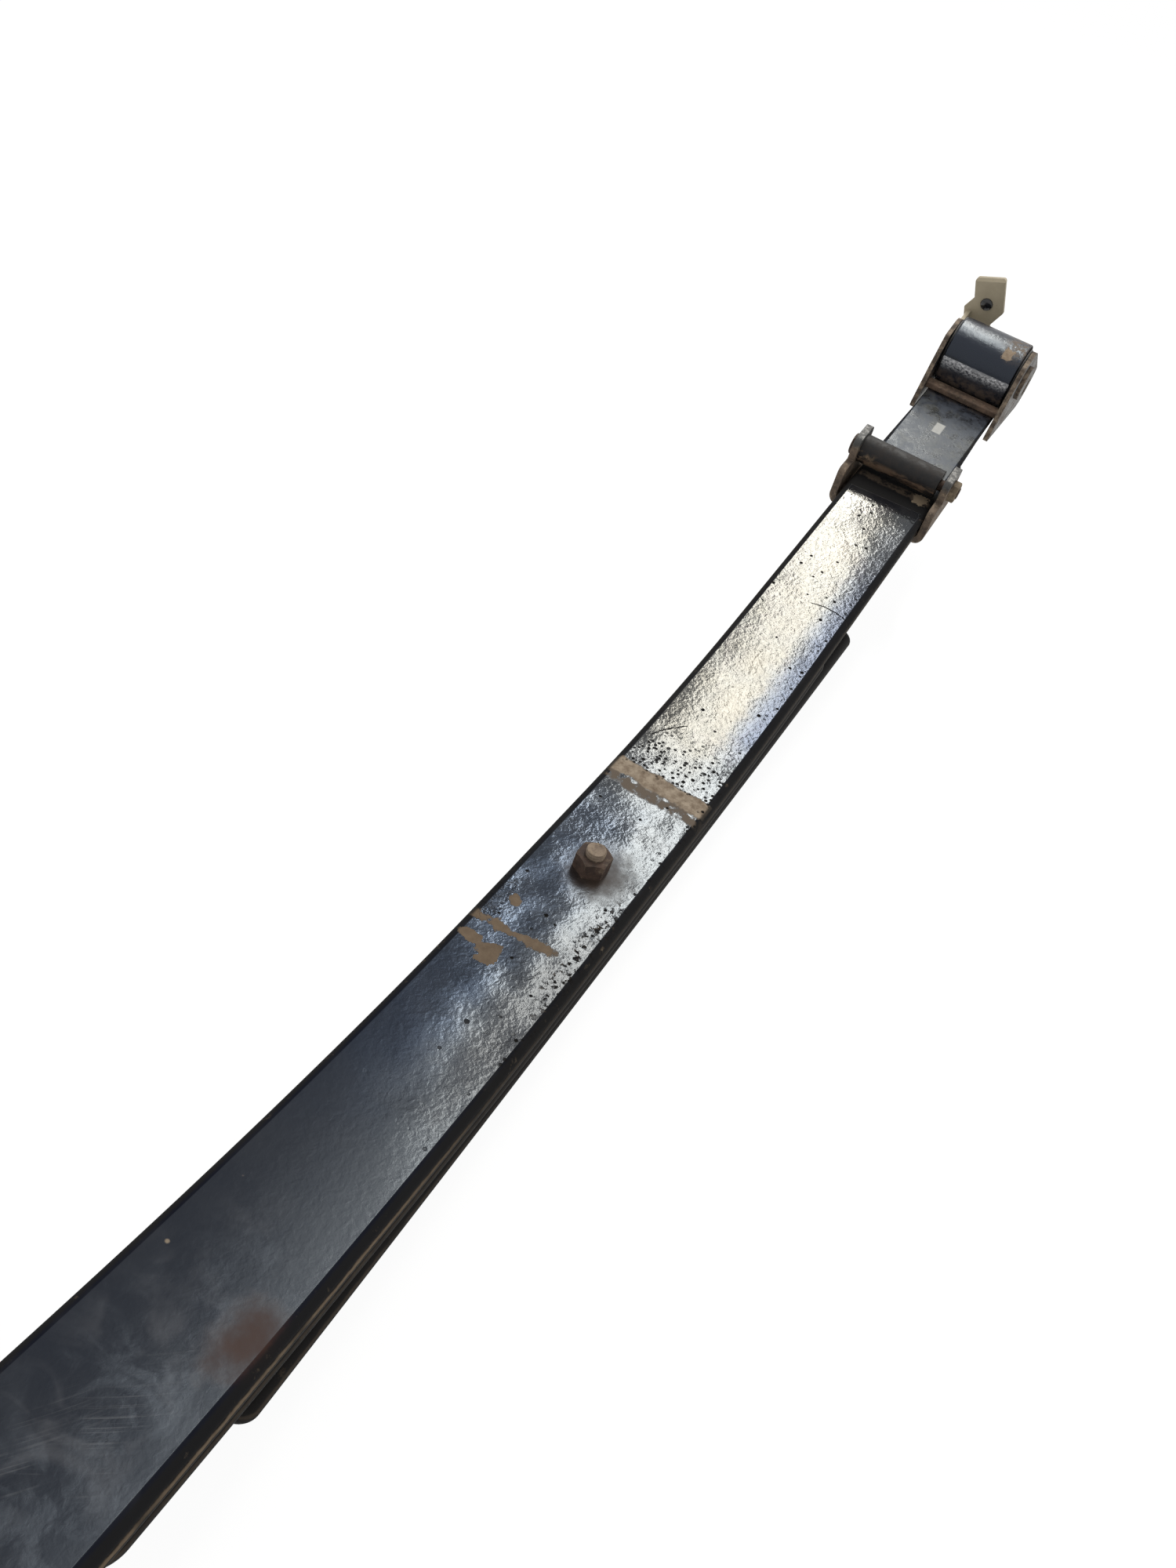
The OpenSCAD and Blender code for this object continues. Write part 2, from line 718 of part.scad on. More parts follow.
// Places children in the tab's plane at its hole, X to the left and Y up the tab
module tab_plane() {
    translate([plate_out - tab_hole_in, tab_hole_up]) rotate(-tab_lean_deg) children();
}
// Tab seen along the leaf, up to the lip's edge, with its inner foot cut off
module tab_outline() {
    r = tab_corner_r;
    low = -tab_below + r;
    high = tab_above + lip_up - r;
    band([
        [tab_chamfer - tab_inner_w + r, low, r], [tab_outer_w - r, low, r], [tab_outer_w - r, high, r],
        [-tab_inner_w + r, high, r], [-tab_inner_w + r, low + tab_chamfer, r]
    ], skin);
}
// Foot of the tab, with a corner that stands out and runs up to the tab's outer edge
module foot_outline() {
    foot_in = leg_out - foot_w;
    foot_top = foot_h - foot_drop;
    polygon([
        [foot_in, -foot_drop], [leg_out, -foot_drop], [leg_out, 0], [leg_out + foot_flare, flare_up],
        [leg_out - bracket_t / 2, 2 * flare_up], [foot_in + bracket_t, foot_top]
    ]);
}
module cable_bracket() {
    leg_end = tab_along - bracket_corner_r;
    near = tab_along - bracket_t;
    full_w = tab_inner_w + tab_outer_w + 2 * cut;
    color("#7a735f") at_rear_eye() difference() {
        union() {
            across(leg_out, bracket_t) band([
                [bracket_rivet_along, -bracket_rivet_drop, bracket_end_r],
                [leg_end, bracket_corner_r - foot_drop, bracket_corner_r],
                [leg_end, foot_h - foot_drop - bracket_corner_r, bracket_corner_r]
            ], skin);
            lengthwise(near, bracket_t) {
                foot_outline();
                difference() {
                    tab_plane() tab_outline();
                    tab_plane() translate([-tab_inner_w - cut, tab_above]) square([full_w, lip_up + cut]);
                }
            }
            intersection() {
                lengthwise(near - cut, bracket_t + lip_back + 2 * cut) tab_plane() tab_outline();
                translate([0, plate_out - tab_hole_in, tab_hole_up]) rotate([-tab_lean_deg, 0, 0])
                    across(tab_outer_w + cut, full_w) polygon([
                        [near + skin, tab_above - cut], [tab_along - skin, tab_above - cut],
                        [tab_along - skin, tab_above], [tab_along + lip_back, tab_above + lip_up + cut],
                        [near + lip_back, tab_above + lip_up + cut], [near + skin, tab_above]
                    ]);
            }
        }
        lengthwise(near - cut, bracket_t + 2 * cut) tab_plane() circle(tab_hole_r);
        across(leg_out + cut, bracket_t + 2 * cut)
            translate([bracket_rivet_along, -bracket_rivet_drop]) circle(bracket_rivet_r + press_gap);
    }
}
module bracket_rivet() {
    head_r = bracket_rivet_r * 1.8;
    color("#5b5347") at_rear_eye() translate([bracket_rivet_along, leg_out, -bracket_rivet_drop]) {
        across(0, bracket_t + plate_t) circle(bracket_rivet_r);
        rotate([-90, 0, 0]) dome(head_r, bracket_rivet_r * 0.8);
    }
}
module bracket_plug() {
    near_face = tab_along - bracket_t + plug_inset;
    color("#151515") at_rear_eye() {
        lengthwise(near_face, tab_along - near_face) tab_plane() circle(tab_hole_r - press_gap);
        lengthwise(tab_along, plug_rim_t) tab_plane() circle(plug_rim_r);
    }
}

main_leaf();
second_leaf();
third_leaf();
overload_leaf();
second_leaf_buttons();
third_leaf_buttons();
centre_bolt();
centre_nut();
front_bush_shell();
front_bush_rubber();
front_bush_sleeve();
rear_bush_shell();
rear_bush_rubber_left();
rear_bush_rubber_right();
rear_bush_sleeve();
rear_clip_strap();
rear_clip_tube();
rear_clip_bolt();
rear_clip_nut();
rear_clip_rivet();
front_clip_strap();
front_clip_tube();
front_clip_bolt();
front_clip_nut();
front_clip_rivet();
shackle_plate_left();
shackle_plate_right();
shackle_web();
shackle_pin();
shackle_pin_collar();
cable_bracket();
bracket_rivet();
bracket_plug();
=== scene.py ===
from math import acos, ceil, cos, pi, radians, sin, sqrt, tan
from types import SimpleNamespace

import bmesh
import bpy
from mathutils import Matrix, Vector


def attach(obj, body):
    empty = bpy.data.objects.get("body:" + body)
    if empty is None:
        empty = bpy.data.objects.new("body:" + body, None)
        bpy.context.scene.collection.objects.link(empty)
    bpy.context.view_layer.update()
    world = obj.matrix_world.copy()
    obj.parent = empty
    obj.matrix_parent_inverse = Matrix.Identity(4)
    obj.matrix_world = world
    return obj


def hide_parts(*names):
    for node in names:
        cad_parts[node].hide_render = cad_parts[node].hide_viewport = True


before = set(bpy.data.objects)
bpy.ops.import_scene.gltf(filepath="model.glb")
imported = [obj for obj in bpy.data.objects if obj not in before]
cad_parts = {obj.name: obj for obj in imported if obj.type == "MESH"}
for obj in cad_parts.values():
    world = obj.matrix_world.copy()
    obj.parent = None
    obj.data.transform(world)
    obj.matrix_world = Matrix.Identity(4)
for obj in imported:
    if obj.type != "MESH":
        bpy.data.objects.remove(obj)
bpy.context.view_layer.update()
MM = 0.001

# Camera, in metres, in the frame of the part
CAMERA_AT = (-0.39636, -0.10349, 0.44396)
CAMERA_RIGHT = (0.479256, -0.841998, 0.247697)
CAMERA_DOWN = (-0.502904, -0.494744, -0.708743)
CAMERA_CLIP = 0.01
IMAGE_W, IMAGE_H = 1500, 2000
FOCAL_PX = 1528.7
SENSOR_MM = 36.0

# Leaves, in millimetres and radians, as in the construction
LEAF_HALF = 30
LEAF_T = 8
OVERLOAD_T = 9
LEAF_GAP = 0.2
TOP_Z = 33.6
SEAT_HALF = 45
REAR = {"bend_r": 1070, "bend": radians(10.5), "eye_x": 588, "eye_r": 18.5}
FRONT = {"bend_r": 1272, "bend": radians(14), "eye_x": 640, "eye_r": 22.5}
REAR_EYE_HALF = 27.5
TAPER_FROM, TAPER_TO = 445, 533
CUT_EDGE_R = 1.3
LIP_DEG = 3
TIP_R = 14
OVERLOAD_TIP_R = 7
OVERLOAD_BEND_R = 6000
REACH = {"second": (508, 560), "third": (265, 338), "overload": (338, 275)}
REAR_CLIP_X = 432
FRONT_CLIP_X = 470

# Fineness of the leaves' meshes, in millimetres
MAIN_STEP = 6
PLAIN_STEP = 8
TIP_STEP = 0.8
OVERLOAD_TIP_STEP = 0.7
FLAT_STRIP = 0.25
EDGE_SPARE = 0.02

# Bushes
SHELL_T = 2
PRESS_GAP = 0.05
REAR_SLEEVE_R = 10.05
FRONT_SLEEVE_R = 12.05
FLANGE_T = 1.7
FLANGE_LIP = 5
FLANGE_ROUND = 0.8
FLANGE_HEEL = 0.4
GROOVE_HALF, GROOVE_FLOOR_HALF, GROOVE_DEPTH = 1.0, 0.6, 0.4
BORE_CHAMFER = 0.5
SPLIT = 0.25
FRONT_DISH = 1.6

# Centre bolt
BOLT_R = 5
BOLT_TOP = 46.8
BOLT_END_R = 3.5
DOWEL_R = 8.5
DOWEL_H = 10
DOWEL_CHAMFER = 0.8
DOWEL_TOP = -0.05
THREAD_PITCH = 1.5
THREAD_FROM = 42
THREAD_DEPTH = 0.75
THREAD_SLOPE, THREAD_CREST = 1.6, 0.3
POINT_H, POINT_SLOPE = 1.0, 0.18
ROOT_R = 3.6

# Plug of the bracket's tab, from the rear eye
PLUG_ALONG, PLUG_Y, PLUG_UP = 55, 23.7, 18.3
PLUG_R = 4.85
PLUG_RIM_R, PLUG_RIM_T = 6.5, 2
PLUG_CHAMFER = 0.5
PLUG_DOME_FROM, PLUG_DOME_H = 2.9, 2.4
PLUG_DOME_DEG, PLUG_DOME_STEPS = 88, 12


# Shapes

def mesh_object(name, points, faces, smooth_deg=40):
    """An object whose place is in its mesh; points are in millimetres."""
    mesh = bpy.data.meshes.new(name)
    mesh.from_pydata([tuple(c * MM for c in p) for p in points], [], faces)
    work = bmesh.new()
    work.from_mesh(mesh)
    bmesh.ops.recalc_face_normals(work, faces=work.faces)
    work.to_mesh(mesh)
    work.free()
    mesh.polygons.foreach_set("use_smooth", [True] * len(mesh.polygons))
    mesh.set_sharp_from_angle(angle=radians(smooth_deg))
    piece = bpy.data.objects.new(name, mesh)
    bpy.context.scene.collection.objects.link(piece)
    return piece


def stands_for(piece, body, slot, *nodes):
    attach(piece, body)
    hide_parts(*nodes)


def arch(side, depth, steps=48):
    """Stations (x, z, slope) of a leaf's top face, from the seat's edge along the bend."""
    r, top = side["bend_r"], TOP_Z + side["bend_r"]
    turns = [side["bend"] * i / steps for i in range(steps + 1)]
    return [(SEAT_HALF + (r + depth) * sin(a), top - (r + depth) * cos(a), a) for a in turns]


def run_on(stations, x_end, step):
    """A straight run from the last station to x_end."""
    x, z, a = stations[-1]
    count = max(1, ceil((x_end - x) / step))
    for i in range(1, count + 1):
        d = (x_end - x) * i / count
        stations.append((x + d, z + d * tan(a), a))


def roll_up(stations, eye_r, steps=110):
    """The rolled eye beyond the last station, up to its lip."""
    x, z, a = stations[-1]
    mid_x, mid_z = x - eye_r * sin(a), z + eye_r * cos(a)
    last = 2 * pi - acos(eye_r / (eye_r + LEAF_T)) - radians(LIP_DEG)
    for i in range(1, steps + 1):
        b = a + last * i / steps
        stations.append((mid_x + eye_r * sin(b), mid_z - eye_r * cos(b), b))


def main_half(side):
    stations = arch(side, 0)
    run_on(stations, side["eye_x"] + side["eye_r"] * sin(side["bend"]), MAIN_STEP)
    roll_up(stations, side["eye_r"])
    return stations


def plain_half(side, depth, reach):
    stations = [s for s in arch(side, depth) if s[0] < reach - TIP_R]
    run_on(stations, reach - TIP_R, PLAIN_STEP)
    run_on(stations, reach, TIP_STEP)
    return stations


def overload_half(depth, reach, count=60):
    base = TOP_Z - depth + OVERLOAD_BEND_R
    stations = []
    for i in range(count + 1):
        x = SEAT_HALF + (reach - SEAT_HALF) * i / count
        if x < reach - OVERLOAD_TIP_R:
            a = (x - SEAT_HALF) / OVERLOAD_BEND_R
            stations.append((x, base - OVERLOAD_BEND_R * cos(a), a))
    run_on(stations, reach, OVERLOAD_TIP_STEP)
    return stations


def taper(x):
    """0 on the main leaf's full width, 1 at the narrower rear eye."""
    return min(1, max(0, (x - TAPER_FROM) / (TAPER_TO - TAPER_FROM)))


def main_width(x):
    return LEAF_HALF - (LEAF_HALF - REAR_EYE_HALF) * taper(x)


def main_edge(x):
    """Edge radius of the main leaf, whose sides are cut square at the rear eye."""
    return LEAF_T / 2 - (LEAF_T / 2 - CUT_EDGE_R) * taper(x)


def full_round(x):
    return LEAF_T


def tip_width(reach, tip_r):
    """Half width of a leaf whose corners are rounded at both ends."""
    def width(x):
        left = min(reach[0] - x, reach[1] + x)
        if left >= tip_r:
            return LEAF_HALF
        return LEAF_HALF - tip_r + sqrt(max(0, tip_r ** 2 - (tip_r - left) ** 2))
    return width


def section(half, thick, edge_r, across=10, round_steps=5):
    """Points (y, depth) round a leaf; a strip keeps the flats flat up to the rounded edges."""
    r = min(edge_r, thick / 2 - EDGE_SPARE)
    flat = half - r
    inner = flat - FLAT_STRIP
    ring = [(flat, 0)]
    ring += [(inner - 2 * inner * i / across, 0) for i in range(across + 1)]
    ring += [(-flat, 0)]
    turns = [pi / 2 * i / round_steps for i in range(round_steps + 1)]
    right = [(-flat - r * sin(a), r - r * cos(a)) for a in turns[1:]]
    right += [(-flat - r * cos(a), thick - r + r * sin(a)) for a in turns]
    ring += right
    ring += [(-inner, thick), (inner, thick)]
    ring += [(-y, d) for y, d in reversed(right)]
    return ring


def leaf(name, rear, front, width, thick, edge=full_round):
    stations = [(-x, z, -a) for x, z, a in reversed(front)]
    stations += [(SEAT_HALF * t / 4, rear[0][1], 0) for t in range(-3, 4)]
    stations += rear
    points, faces = [], []
    for x, z, a in stations:
        ring = section(width(x), thick, edge(x))
        points += [(x + d * sin(a), y, z - d * cos(a)) for y, d in ring]
    size = len(ring)
    for i in range(len(stations) - 1):
        here, there = i * size, (i + 1) * size
        for j in range(size):
            k = (j + 1) % size
            faces.append((here + j, here + k, there + k, there + j))
    faces.append(tuple(range(size)))
    faces.append(tuple(range((len(stations) - 1) * size, len(stations) * size)))
    return mesh_object(name, points, faces)


def lathe(name, profile, middle, steps=96):
    """A closed profile (radius, y) turned round an axis along Y through middle."""
    points, faces = [], []
    size = len(profile)
    for i in range(steps):
        a = 2 * pi * i / steps
        points += [(middle[0] + r * cos(a), y, middle[1] + r * sin(a)) for r, y in profile]
        here, there = i * size, (i + 1) % steps * size
        for j in range(size):
            k = (j + 1) % size
            faces.append((here + j, here + k, there + k, there + j))
    return mesh_object(name, points, faces)


def ring_faces(rows, size):
    """Faces between rows of size points each, with both ends closed."""
    faces = []
    for i in range(1, rows):
        here, there = (i - 1) * size, i * size
        for j in range(size):
            k = (j + 1) % size
            faces.append((here + j, here + k, there + k, there + j))
    return faces + [tuple(range(size)), tuple(range((rows - 1) * size, rows * size))]


def fillet(middle, r, start, end, steps=6):
    """Points of an arc in a profile, from start to end in degrees."""
    turns = [radians(start + (end - start) * i / steps) for i in range(steps + 1)]
    return [(middle[0] + r * cos(a), middle[1] + r * sin(a)) for a in turns]


def eye_at(side, sign):
    """The middle of an eye, in the plane of x and z."""
    end = arch(side, 0)[-1]
    x, a = side["eye_x"], side["bend"]
    z = end[1] + (x + side["eye_r"] * sin(a) - end[0]) * tan(a) + side["eye_r"] * cos(a)
    return sign * x, z


def rear_rubber(name, sign):
    """A bush half with a rounded flange and a shallow groove in its face."""
    body = REAR["eye_r"] - 2 * PRESS_GAP - SHELL_T
    lip = REAR["eye_r"] + FLANGE_LIP
    out = REAR_EYE_HALF + FLANGE_T
    groove = (lip + body) / 2
    profile = [(REAR_SLEEVE_R, SPLIT), (body, SPLIT), (body, REAR_EYE_HALF)]
    profile += fillet((lip - FLANGE_HEEL, REAR_EYE_HALF + FLANGE_HEEL), FLANGE_HEEL, -90, 0, 4)
    profile += fillet((lip - FLANGE_ROUND, out - FLANGE_ROUND), FLANGE_ROUND, 0, 90)
    profile += [(groove + GROOVE_HALF, out), (groove + GROOVE_FLOOR_HALF, out - GROOVE_DEPTH)]
    profile += [(groove - GROOVE_FLOOR_HALF, out - GROOVE_DEPTH), (groove - GROOVE_HALF, out)]
    profile += [(REAR_SLEEVE_R + BORE_CHAMFER, out), (REAR_SLEEVE_R, out - BORE_CHAMFER)]
    return lathe(name, [(r, sign * y) for r, y in profile], eye_at(REAR, 1))


def front_rubber(name, steps=12):
    """A bush whose two faces are dished between its steel tubes."""
    outer = FRONT["eye_r"] - 2 * PRESS_GAP - SHELL_T
    shares = [i / steps for i in range(steps + 1)]
    across = [(FRONT_SLEEVE_R + (outer - FRONT_SLEEVE_R) * t, t) for t in shares]
    left = [(r, LEAF_HALF - FRONT_DISH * sin(pi * t)) for r, t in across]
    right = [(r, -LEAF_HALF + FRONT_DISH * sin(pi * t)) for r, t in reversed(across)]
    return lathe(name, left + right, eye_at(FRONT, -1))


def centre_bolt(name, turns=64, layers=9):
    """The bolt with its dowel head, and a cut thread where it stands out of the nut."""
    levels = [(DOWEL_R - DOWEL_CHAMFER, -DOWEL_H), (DOWEL_R, -DOWEL_H + DOWEL_CHAMFER)]
    levels += [(DOWEL_R, DOWEL_TOP), (BOLT_R, DOWEL_TOP), (BOLT_R, THREAD_FROM)]
    count = int((BOLT_TOP - THREAD_FROM) / THREAD_PITCH * layers)
    rows = [[(r, z)] * turns for r, z in levels]
    for i in range(1, count + 1):
        z = THREAD_FROM + (BOLT_TOP - THREAD_FROM) * i / count
        point = max(0, z - (BOLT_TOP - POINT_H)) * POINT_SLOPE
        ring = []
        for j in range(turns):
            phase = (z / THREAD_PITCH - j / turns) % 1
            cut = min(1, max(0, THREAD_SLOPE * abs(2 * phase - 1) - THREAD_CREST))
            ring.append((max(BOLT_R - THREAD_DEPTH * cut - point, ROOT_R), z))
        rows.append(ring)
    rows.append([(BOLT_END_R, BOLT_TOP)] * turns)
    points = []
    for ring in rows:
        for j, (r, z) in enumerate(ring):
            a = 2 * pi * j / turns
            points.append((r * cos(a), r * sin(a), z))
    return mesh_object(name, points, ring_faces(len(rows), turns), 35)


def turned(name, profile, middle, toward, steps=64):
    """A profile (radius, height) turned round an axis through middle, closed by flat ends."""
    up = Vector(toward).normalized()
    side = up.orthogonal().normalized()
    other = up.cross(side)
    points = []
    for r, h in profile:
        for j in range(steps):
            a = 2 * pi * j / steps
            points.append(tuple(Vector(middle) + up * h + (side * cos(a) + other * sin(a)) * r))
    return mesh_object(name, points, ring_faces(len(profile), steps))


def bracket_plug(name):
    """The plug in the tab's hole, with a flat rim behind the tab and a domed head."""
    slope = REAR["bend"]
    eye_x, eye_z = eye_at(REAR, 1)
    along, up = Vector((cos(slope), 0, sin(slope))), Vector((-sin(slope), 0, cos(slope)))
    middle = Vector((eye_x, PLUG_Y, eye_z)) + along * PLUG_ALONG + up * PLUG_UP
    profile = [(PLUG_RIM_R - PLUG_CHAMFER, -PLUG_RIM_T), (PLUG_RIM_R, PLUG_CHAMFER - PLUG_RIM_T)]
    profile += [(PLUG_RIM_R, 0), (PLUG_R, 0)]
    for i in range(PLUG_DOME_STEPS + 1):
        a = radians(PLUG_DOME_DEG * i / PLUG_DOME_STEPS)
        profile.append((PLUG_R * cos(a), PLUG_DOME_FROM + PLUG_DOME_H * sin(a)))
    return turned(name, profile, middle, -along)


# Materials

def in_metres(values_mm):
    return tuple(c * MM for c in values_mm)


class Finish:
    """A material built up from layers in the part's own coordinates."""

    def __init__(self, name):
        self.material = bpy.data.materials.new(name)
        self.material.use_nodes = True
        self.tree = self.material.node_tree
        self.shader = self.tree.nodes["Principled BSDF"]
        where = self.tree.nodes.new("ShaderNodeTexCoord")
        self.place = where.outputs["Object"]
        self.x, self.y, self.z = self.split(self.place)
        self.nx, self.ny, self.nz = self.split(where.outputs["Normal"])
        self.color = None

    # Plain arithmetic

    def feed(self, socket, value):
        if isinstance(value, bpy.types.NodeSocket):
            self.tree.links.new(value, socket)
        elif isinstance(value, tuple) and socket.type == "RGBA" and len(value) == 3:
            socket.default_value = value + (1.0,)
        else:
            socket.default_value = value

    def split(self, vector):
        node = self.tree.nodes.new("ShaderNodeSeparateXYZ")
        self.feed(node.inputs[0], vector)
        return tuple(node.outputs)

    def math(self, kind, a, b=0.0):
        node = self.tree.nodes.new("ShaderNodeMath")
        node.operation = kind
        self.feed(node.inputs[0], a)
        self.feed(node.inputs[1], b)
        return node.outputs[0]

    def chain(self, kind, values):
        total = values[0]
        for value in values[1:]:
            total = self.math(kind, total, value)
        return total

    def add(self, *values):
        return self.chain("ADD", values)

    def times(self, *values):
        return self.chain("MULTIPLY", values)

    def most(self, *values):
        return self.chain("MAXIMUM", values)

    def less(self, a, b):
        return self.math("SUBTRACT", a, b)

    def size_of(self, a):
        return self.math("ABSOLUTE", a)

    def without(self, a):
        return self.less(1.0, a)

    def vector(self, kind, a, b):
        node = self.tree.nodes.new("ShaderNodeVectorMath")
        node.operation = kind
        self.feed(node.inputs[0], a)
        self.feed(node.inputs[1], b)
        return node.outputs["Value" if kind in ("LENGTH", "DOT_PRODUCT") else "Vector"]

    def away(self, middle_mm, radii_mm=None):
        """Distance from a point, in metres, or in radii where these are given."""
        offset = self.vector("SUBTRACT", self.place, in_metres(middle_mm))
        if radii_mm:
            offset = self.vector("DIVIDE", offset, in_metres(radii_mm))
        return self.vector("LENGTH", offset, (0, 0, 0))

    # Masks, from 0 to 1

    def ramp(self, value, low, high):
        """0 at low, 1 at high, smooth between them; low may be above high."""
        node = self.tree.nodes.new("ShaderNodeMapRange")
        node.interpolation_type = "SMOOTHSTEP"
        self.feed(node.inputs[0], value)
        node.inputs[1].default_value = low
        node.inputs[2].default_value = high
        return node.outputs[0]

    def ramp_mm(self, value, low, high):
        return self.ramp(value, low * MM, high * MM)

    def along(self, low, high):
        """A ramp over x, in millimetres."""
        return self.ramp_mm(self.x, low, high)

    def sideways(self, low, high):
        """A ramp over y, in millimetres."""
        return self.ramp_mm(self.y, low, high)

    def upward(self, low, high):
        """A ramp over z, in millimetres."""
        return self.ramp_mm(self.z, low, high)

    def band(self, value, low, high, soft):
        rise = self.ramp(value, low - soft, low + soft)
        return self.times(rise, self.ramp(value, high + soft, high - soft))

    def band_mm(self, value, low, high, soft):
        return self.band(value, low * MM, high * MM, soft * MM)

    def noise(self, size_mm, detail=4.0, rough=0.55, stretch=None, bend=0.0):
        node = self.tree.nodes.new("ShaderNodeTexNoise")
        place = self.vector("MULTIPLY", self.place, stretch) if stretch else self.place
        self.feed(node.inputs["Vector"], place)
        node.inputs["Scale"].default_value = 1 / (size_mm * MM)
        node.inputs["Detail"].default_value = detail
        node.inputs["Roughness"].default_value = rough
        node.inputs["Distortion"].default_value = bend
        return node.outputs[0]

    def ragged(self, value, size_mm, amount, detail=4.0):
        """value with a noise of plus or minus amount added."""
        swing = self.less(self.noise(size_mm, detail, 0.6), 0.5)
        return self.add(value, self.times(swing, 2 * amount))

    def ragged_mm(self, value, size_mm, amount_mm, detail=4.0):
        return self.ragged(value, size_mm, amount_mm * MM, detail)

    def spot(self, middle_mm, radii_mm, soft=0.3, rough=0.35, size_mm=6):
        """1 inside an ellipsoid with a ragged edge."""
        away = self.ragged(self.away(middle_mm, radii_mm), size_mm, rough)
        return self.ramp(away, 1 + soft, 1 - soft)

    def specks(self, size_mm, share, edge=0.25):
        """Sparse round specks: only some of the cells hold one."""
        node = self.tree.nodes.new("ShaderNodeTexVoronoi")
        self.feed(node.inputs["Vector"], self.place)
        node.inputs["Scale"].default_value = 1 / (size_mm * MM)
        pick = self.split(node.outputs["Color"])[0]
        away = self.ragged(node.outputs["Distance"], size_mm / 3, edge * 0.5)
        inside = self.ramp(away, edge * 1.3, edge * 0.7)
        return self.times(inside, self.ramp(pick, 1 - share - 0.01, 1 - share + 0.01))

    def arc(self, middle_mm, radius, half, spot):
        """A thin curved line round a far middle, inside a spot."""
        away = self.ragged_mm(self.away(middle_mm), 5, 1.2)
        return self.times(self.band_mm(away, radius - half, radius + half, 0.15), spot)

    def rubbed(self, middle_mm, pitch_mm=1.0):
        """Many fine arcs round a far middle, in soft patches."""
        node = self.tree.nodes.new("ShaderNodeTexNoise")
        node.noise_dimensions = "1D"
        self.feed(node.inputs["W"], self.away(middle_mm))
        node.inputs["Scale"].default_value = 1 / (pitch_mm * MM)
        node.inputs["Detail"].default_value = 3.0
        lines = self.ramp(node.outputs[0], 0.50, 0.72)
        return self.times(lines, self.ramp(self.noise(12, 3.0), 0.38, 0.66))

    def soft_edges(self, radius_mm):
        """A normal that rounds sharp edges, and a mask of those edges."""
        node = self.tree.nodes.new("ShaderNodeBevel")
        node.samples = 6
        node.inputs["Radius"].default_value = radius_mm * MM
        true = self.tree.nodes.new("ShaderNodeNewGeometry").outputs["True Normal"]
        facing = self.vector("DOT_PRODUCT", node.outputs[0], true)
        return node.outputs[0], self.ramp(facing, 0.985, 0.90)

    # Layers

    def mix(self, share, a, b):
        """A colour; the node's colour sockets are the inputs 6 and 7 and the output 2."""
        node = self.tree.nodes.new("ShaderNodeMix")
        node.data_type = "RGBA"
        self.feed(node.inputs[0], share)
        self.feed(node.inputs[6], a)
        self.feed(node.inputs[7], b)
        return node.outputs[2]

    def blend(self, share, a, b):
        """A value; the node's value sockets are the inputs 2 and 3 and the output 0."""
        node = self.tree.nodes.new("ShaderNodeMix")
        self.feed(node.inputs[0], share)
        self.feed(node.inputs[2], a)
        self.feed(node.inputs[3], b)
        return node.outputs[0]

    def coat(self, share, color, strength=None):
        """Lays a colour over those before it."""
        if strength is not None:
            share = self.times(share, strength)
        self.color = self.mix(share, self.color, color)

    def bump(self, height, depth_mm, strength=1.0, under=None):
        node = self.tree.nodes.new("ShaderNodeBump")
        self.feed(node.inputs["Strength"], strength)
        node.inputs["Distance"].default_value = depth_mm * MM
        self.feed(node.inputs["Height"], height)
        if under is not None:
            self.feed(node.inputs["Normal"], under)
        return node.outputs[0]

    def set(self, **values):
        self.feed(self.shader.inputs["Base Color"], self.color)
        for name, value in values.items():
            self.feed(self.shader.inputs[name.replace("_", " ")], value)
        return self.material


TAN = (0.27, 0.21, 0.145)
PALE_TAN = (0.42, 0.35, 0.26)
RUST = (0.11, 0.062, 0.038)

# Colours of the main leaf; a pair is mixed by a noise
NEAR_BLUE = (0.0060, 0.0072, 0.0130)
FAR_BLACK = (0.008, 0.0085, 0.0110)
EYE_BLUE = (0.0050, 0.0060, 0.0125)
FILM_GREY = (0.16, 0.155, 0.145)
STRIP_BLUE = (0.034, 0.041, 0.058)
STRIP_DUST = (0.075, 0.072, 0.056)
BAND_TANS = ((0.150, 0.112, 0.080), (0.330, 0.272, 0.208))
NEAR_TANS = ((0.080, 0.056, 0.038), (0.205, 0.155, 0.108))
BAND_BROWN = (0.135, 0.105, 0.078)
FILM_BROWN = (0.22, 0.165, 0.10)
PIT_BLACK = (0.008, 0.007, 0.006)
HALO_BROWN = (0.070, 0.046, 0.030)
STAIN_RED = (0.060, 0.031, 0.021)
SHADE_BLACK = (0.0125, 0.0120, 0.0120)
STREAK_BROWN = (0.085, 0.064, 0.047)
SMUDGE_GREY = (0.11, 0.11, 0.118)
SCUFF_GREY = (0.15, 0.15, 0.155)
LABEL_GREYS = ((0.30, 0.30, 0.29), (0.46, 0.46, 0.44))
WORN_BROWNS = ((0.10, 0.070, 0.050), (0.25, 0.20, 0.15))
ROLL_GREY = (0.020, 0.0195, 0.024)
# Colour of the painted highlight band on the roll's lower front
ROLL_PAINTED_HIGHLIGHT = (0.64, 0.64, 0.65)
# Colour of the painted shade line of a crease on the roll
CREASE_SHADE_BLACK = (0.004, 0.004, 0.005)
LOW_BROWN = (0.095, 0.071, 0.055)
SIDE_BLACK = (0.0125, 0.0120, 0.0118)

# Tints of the main leaf's glare
COOL_TINT = (0.80, 0.90, 1.0)
WARM_TINT = (1.0, 0.95, 0.80)
SKY_TINT = (0.52, 0.70, 1.0)
BLUE_TINT = (0.24, 0.36, 0.66)
DULL_TINT = (0.40, 0.41, 0.42)

# Scuffs of the near half: far middle of the arcs, place and radii of the patch
SCUFFS = (((-198, 201, 50), (-340, 6, 86), (34, 15, 30)),
          ((-135, 137, 50), (-306, -8, 78), (26, 10, 30)))


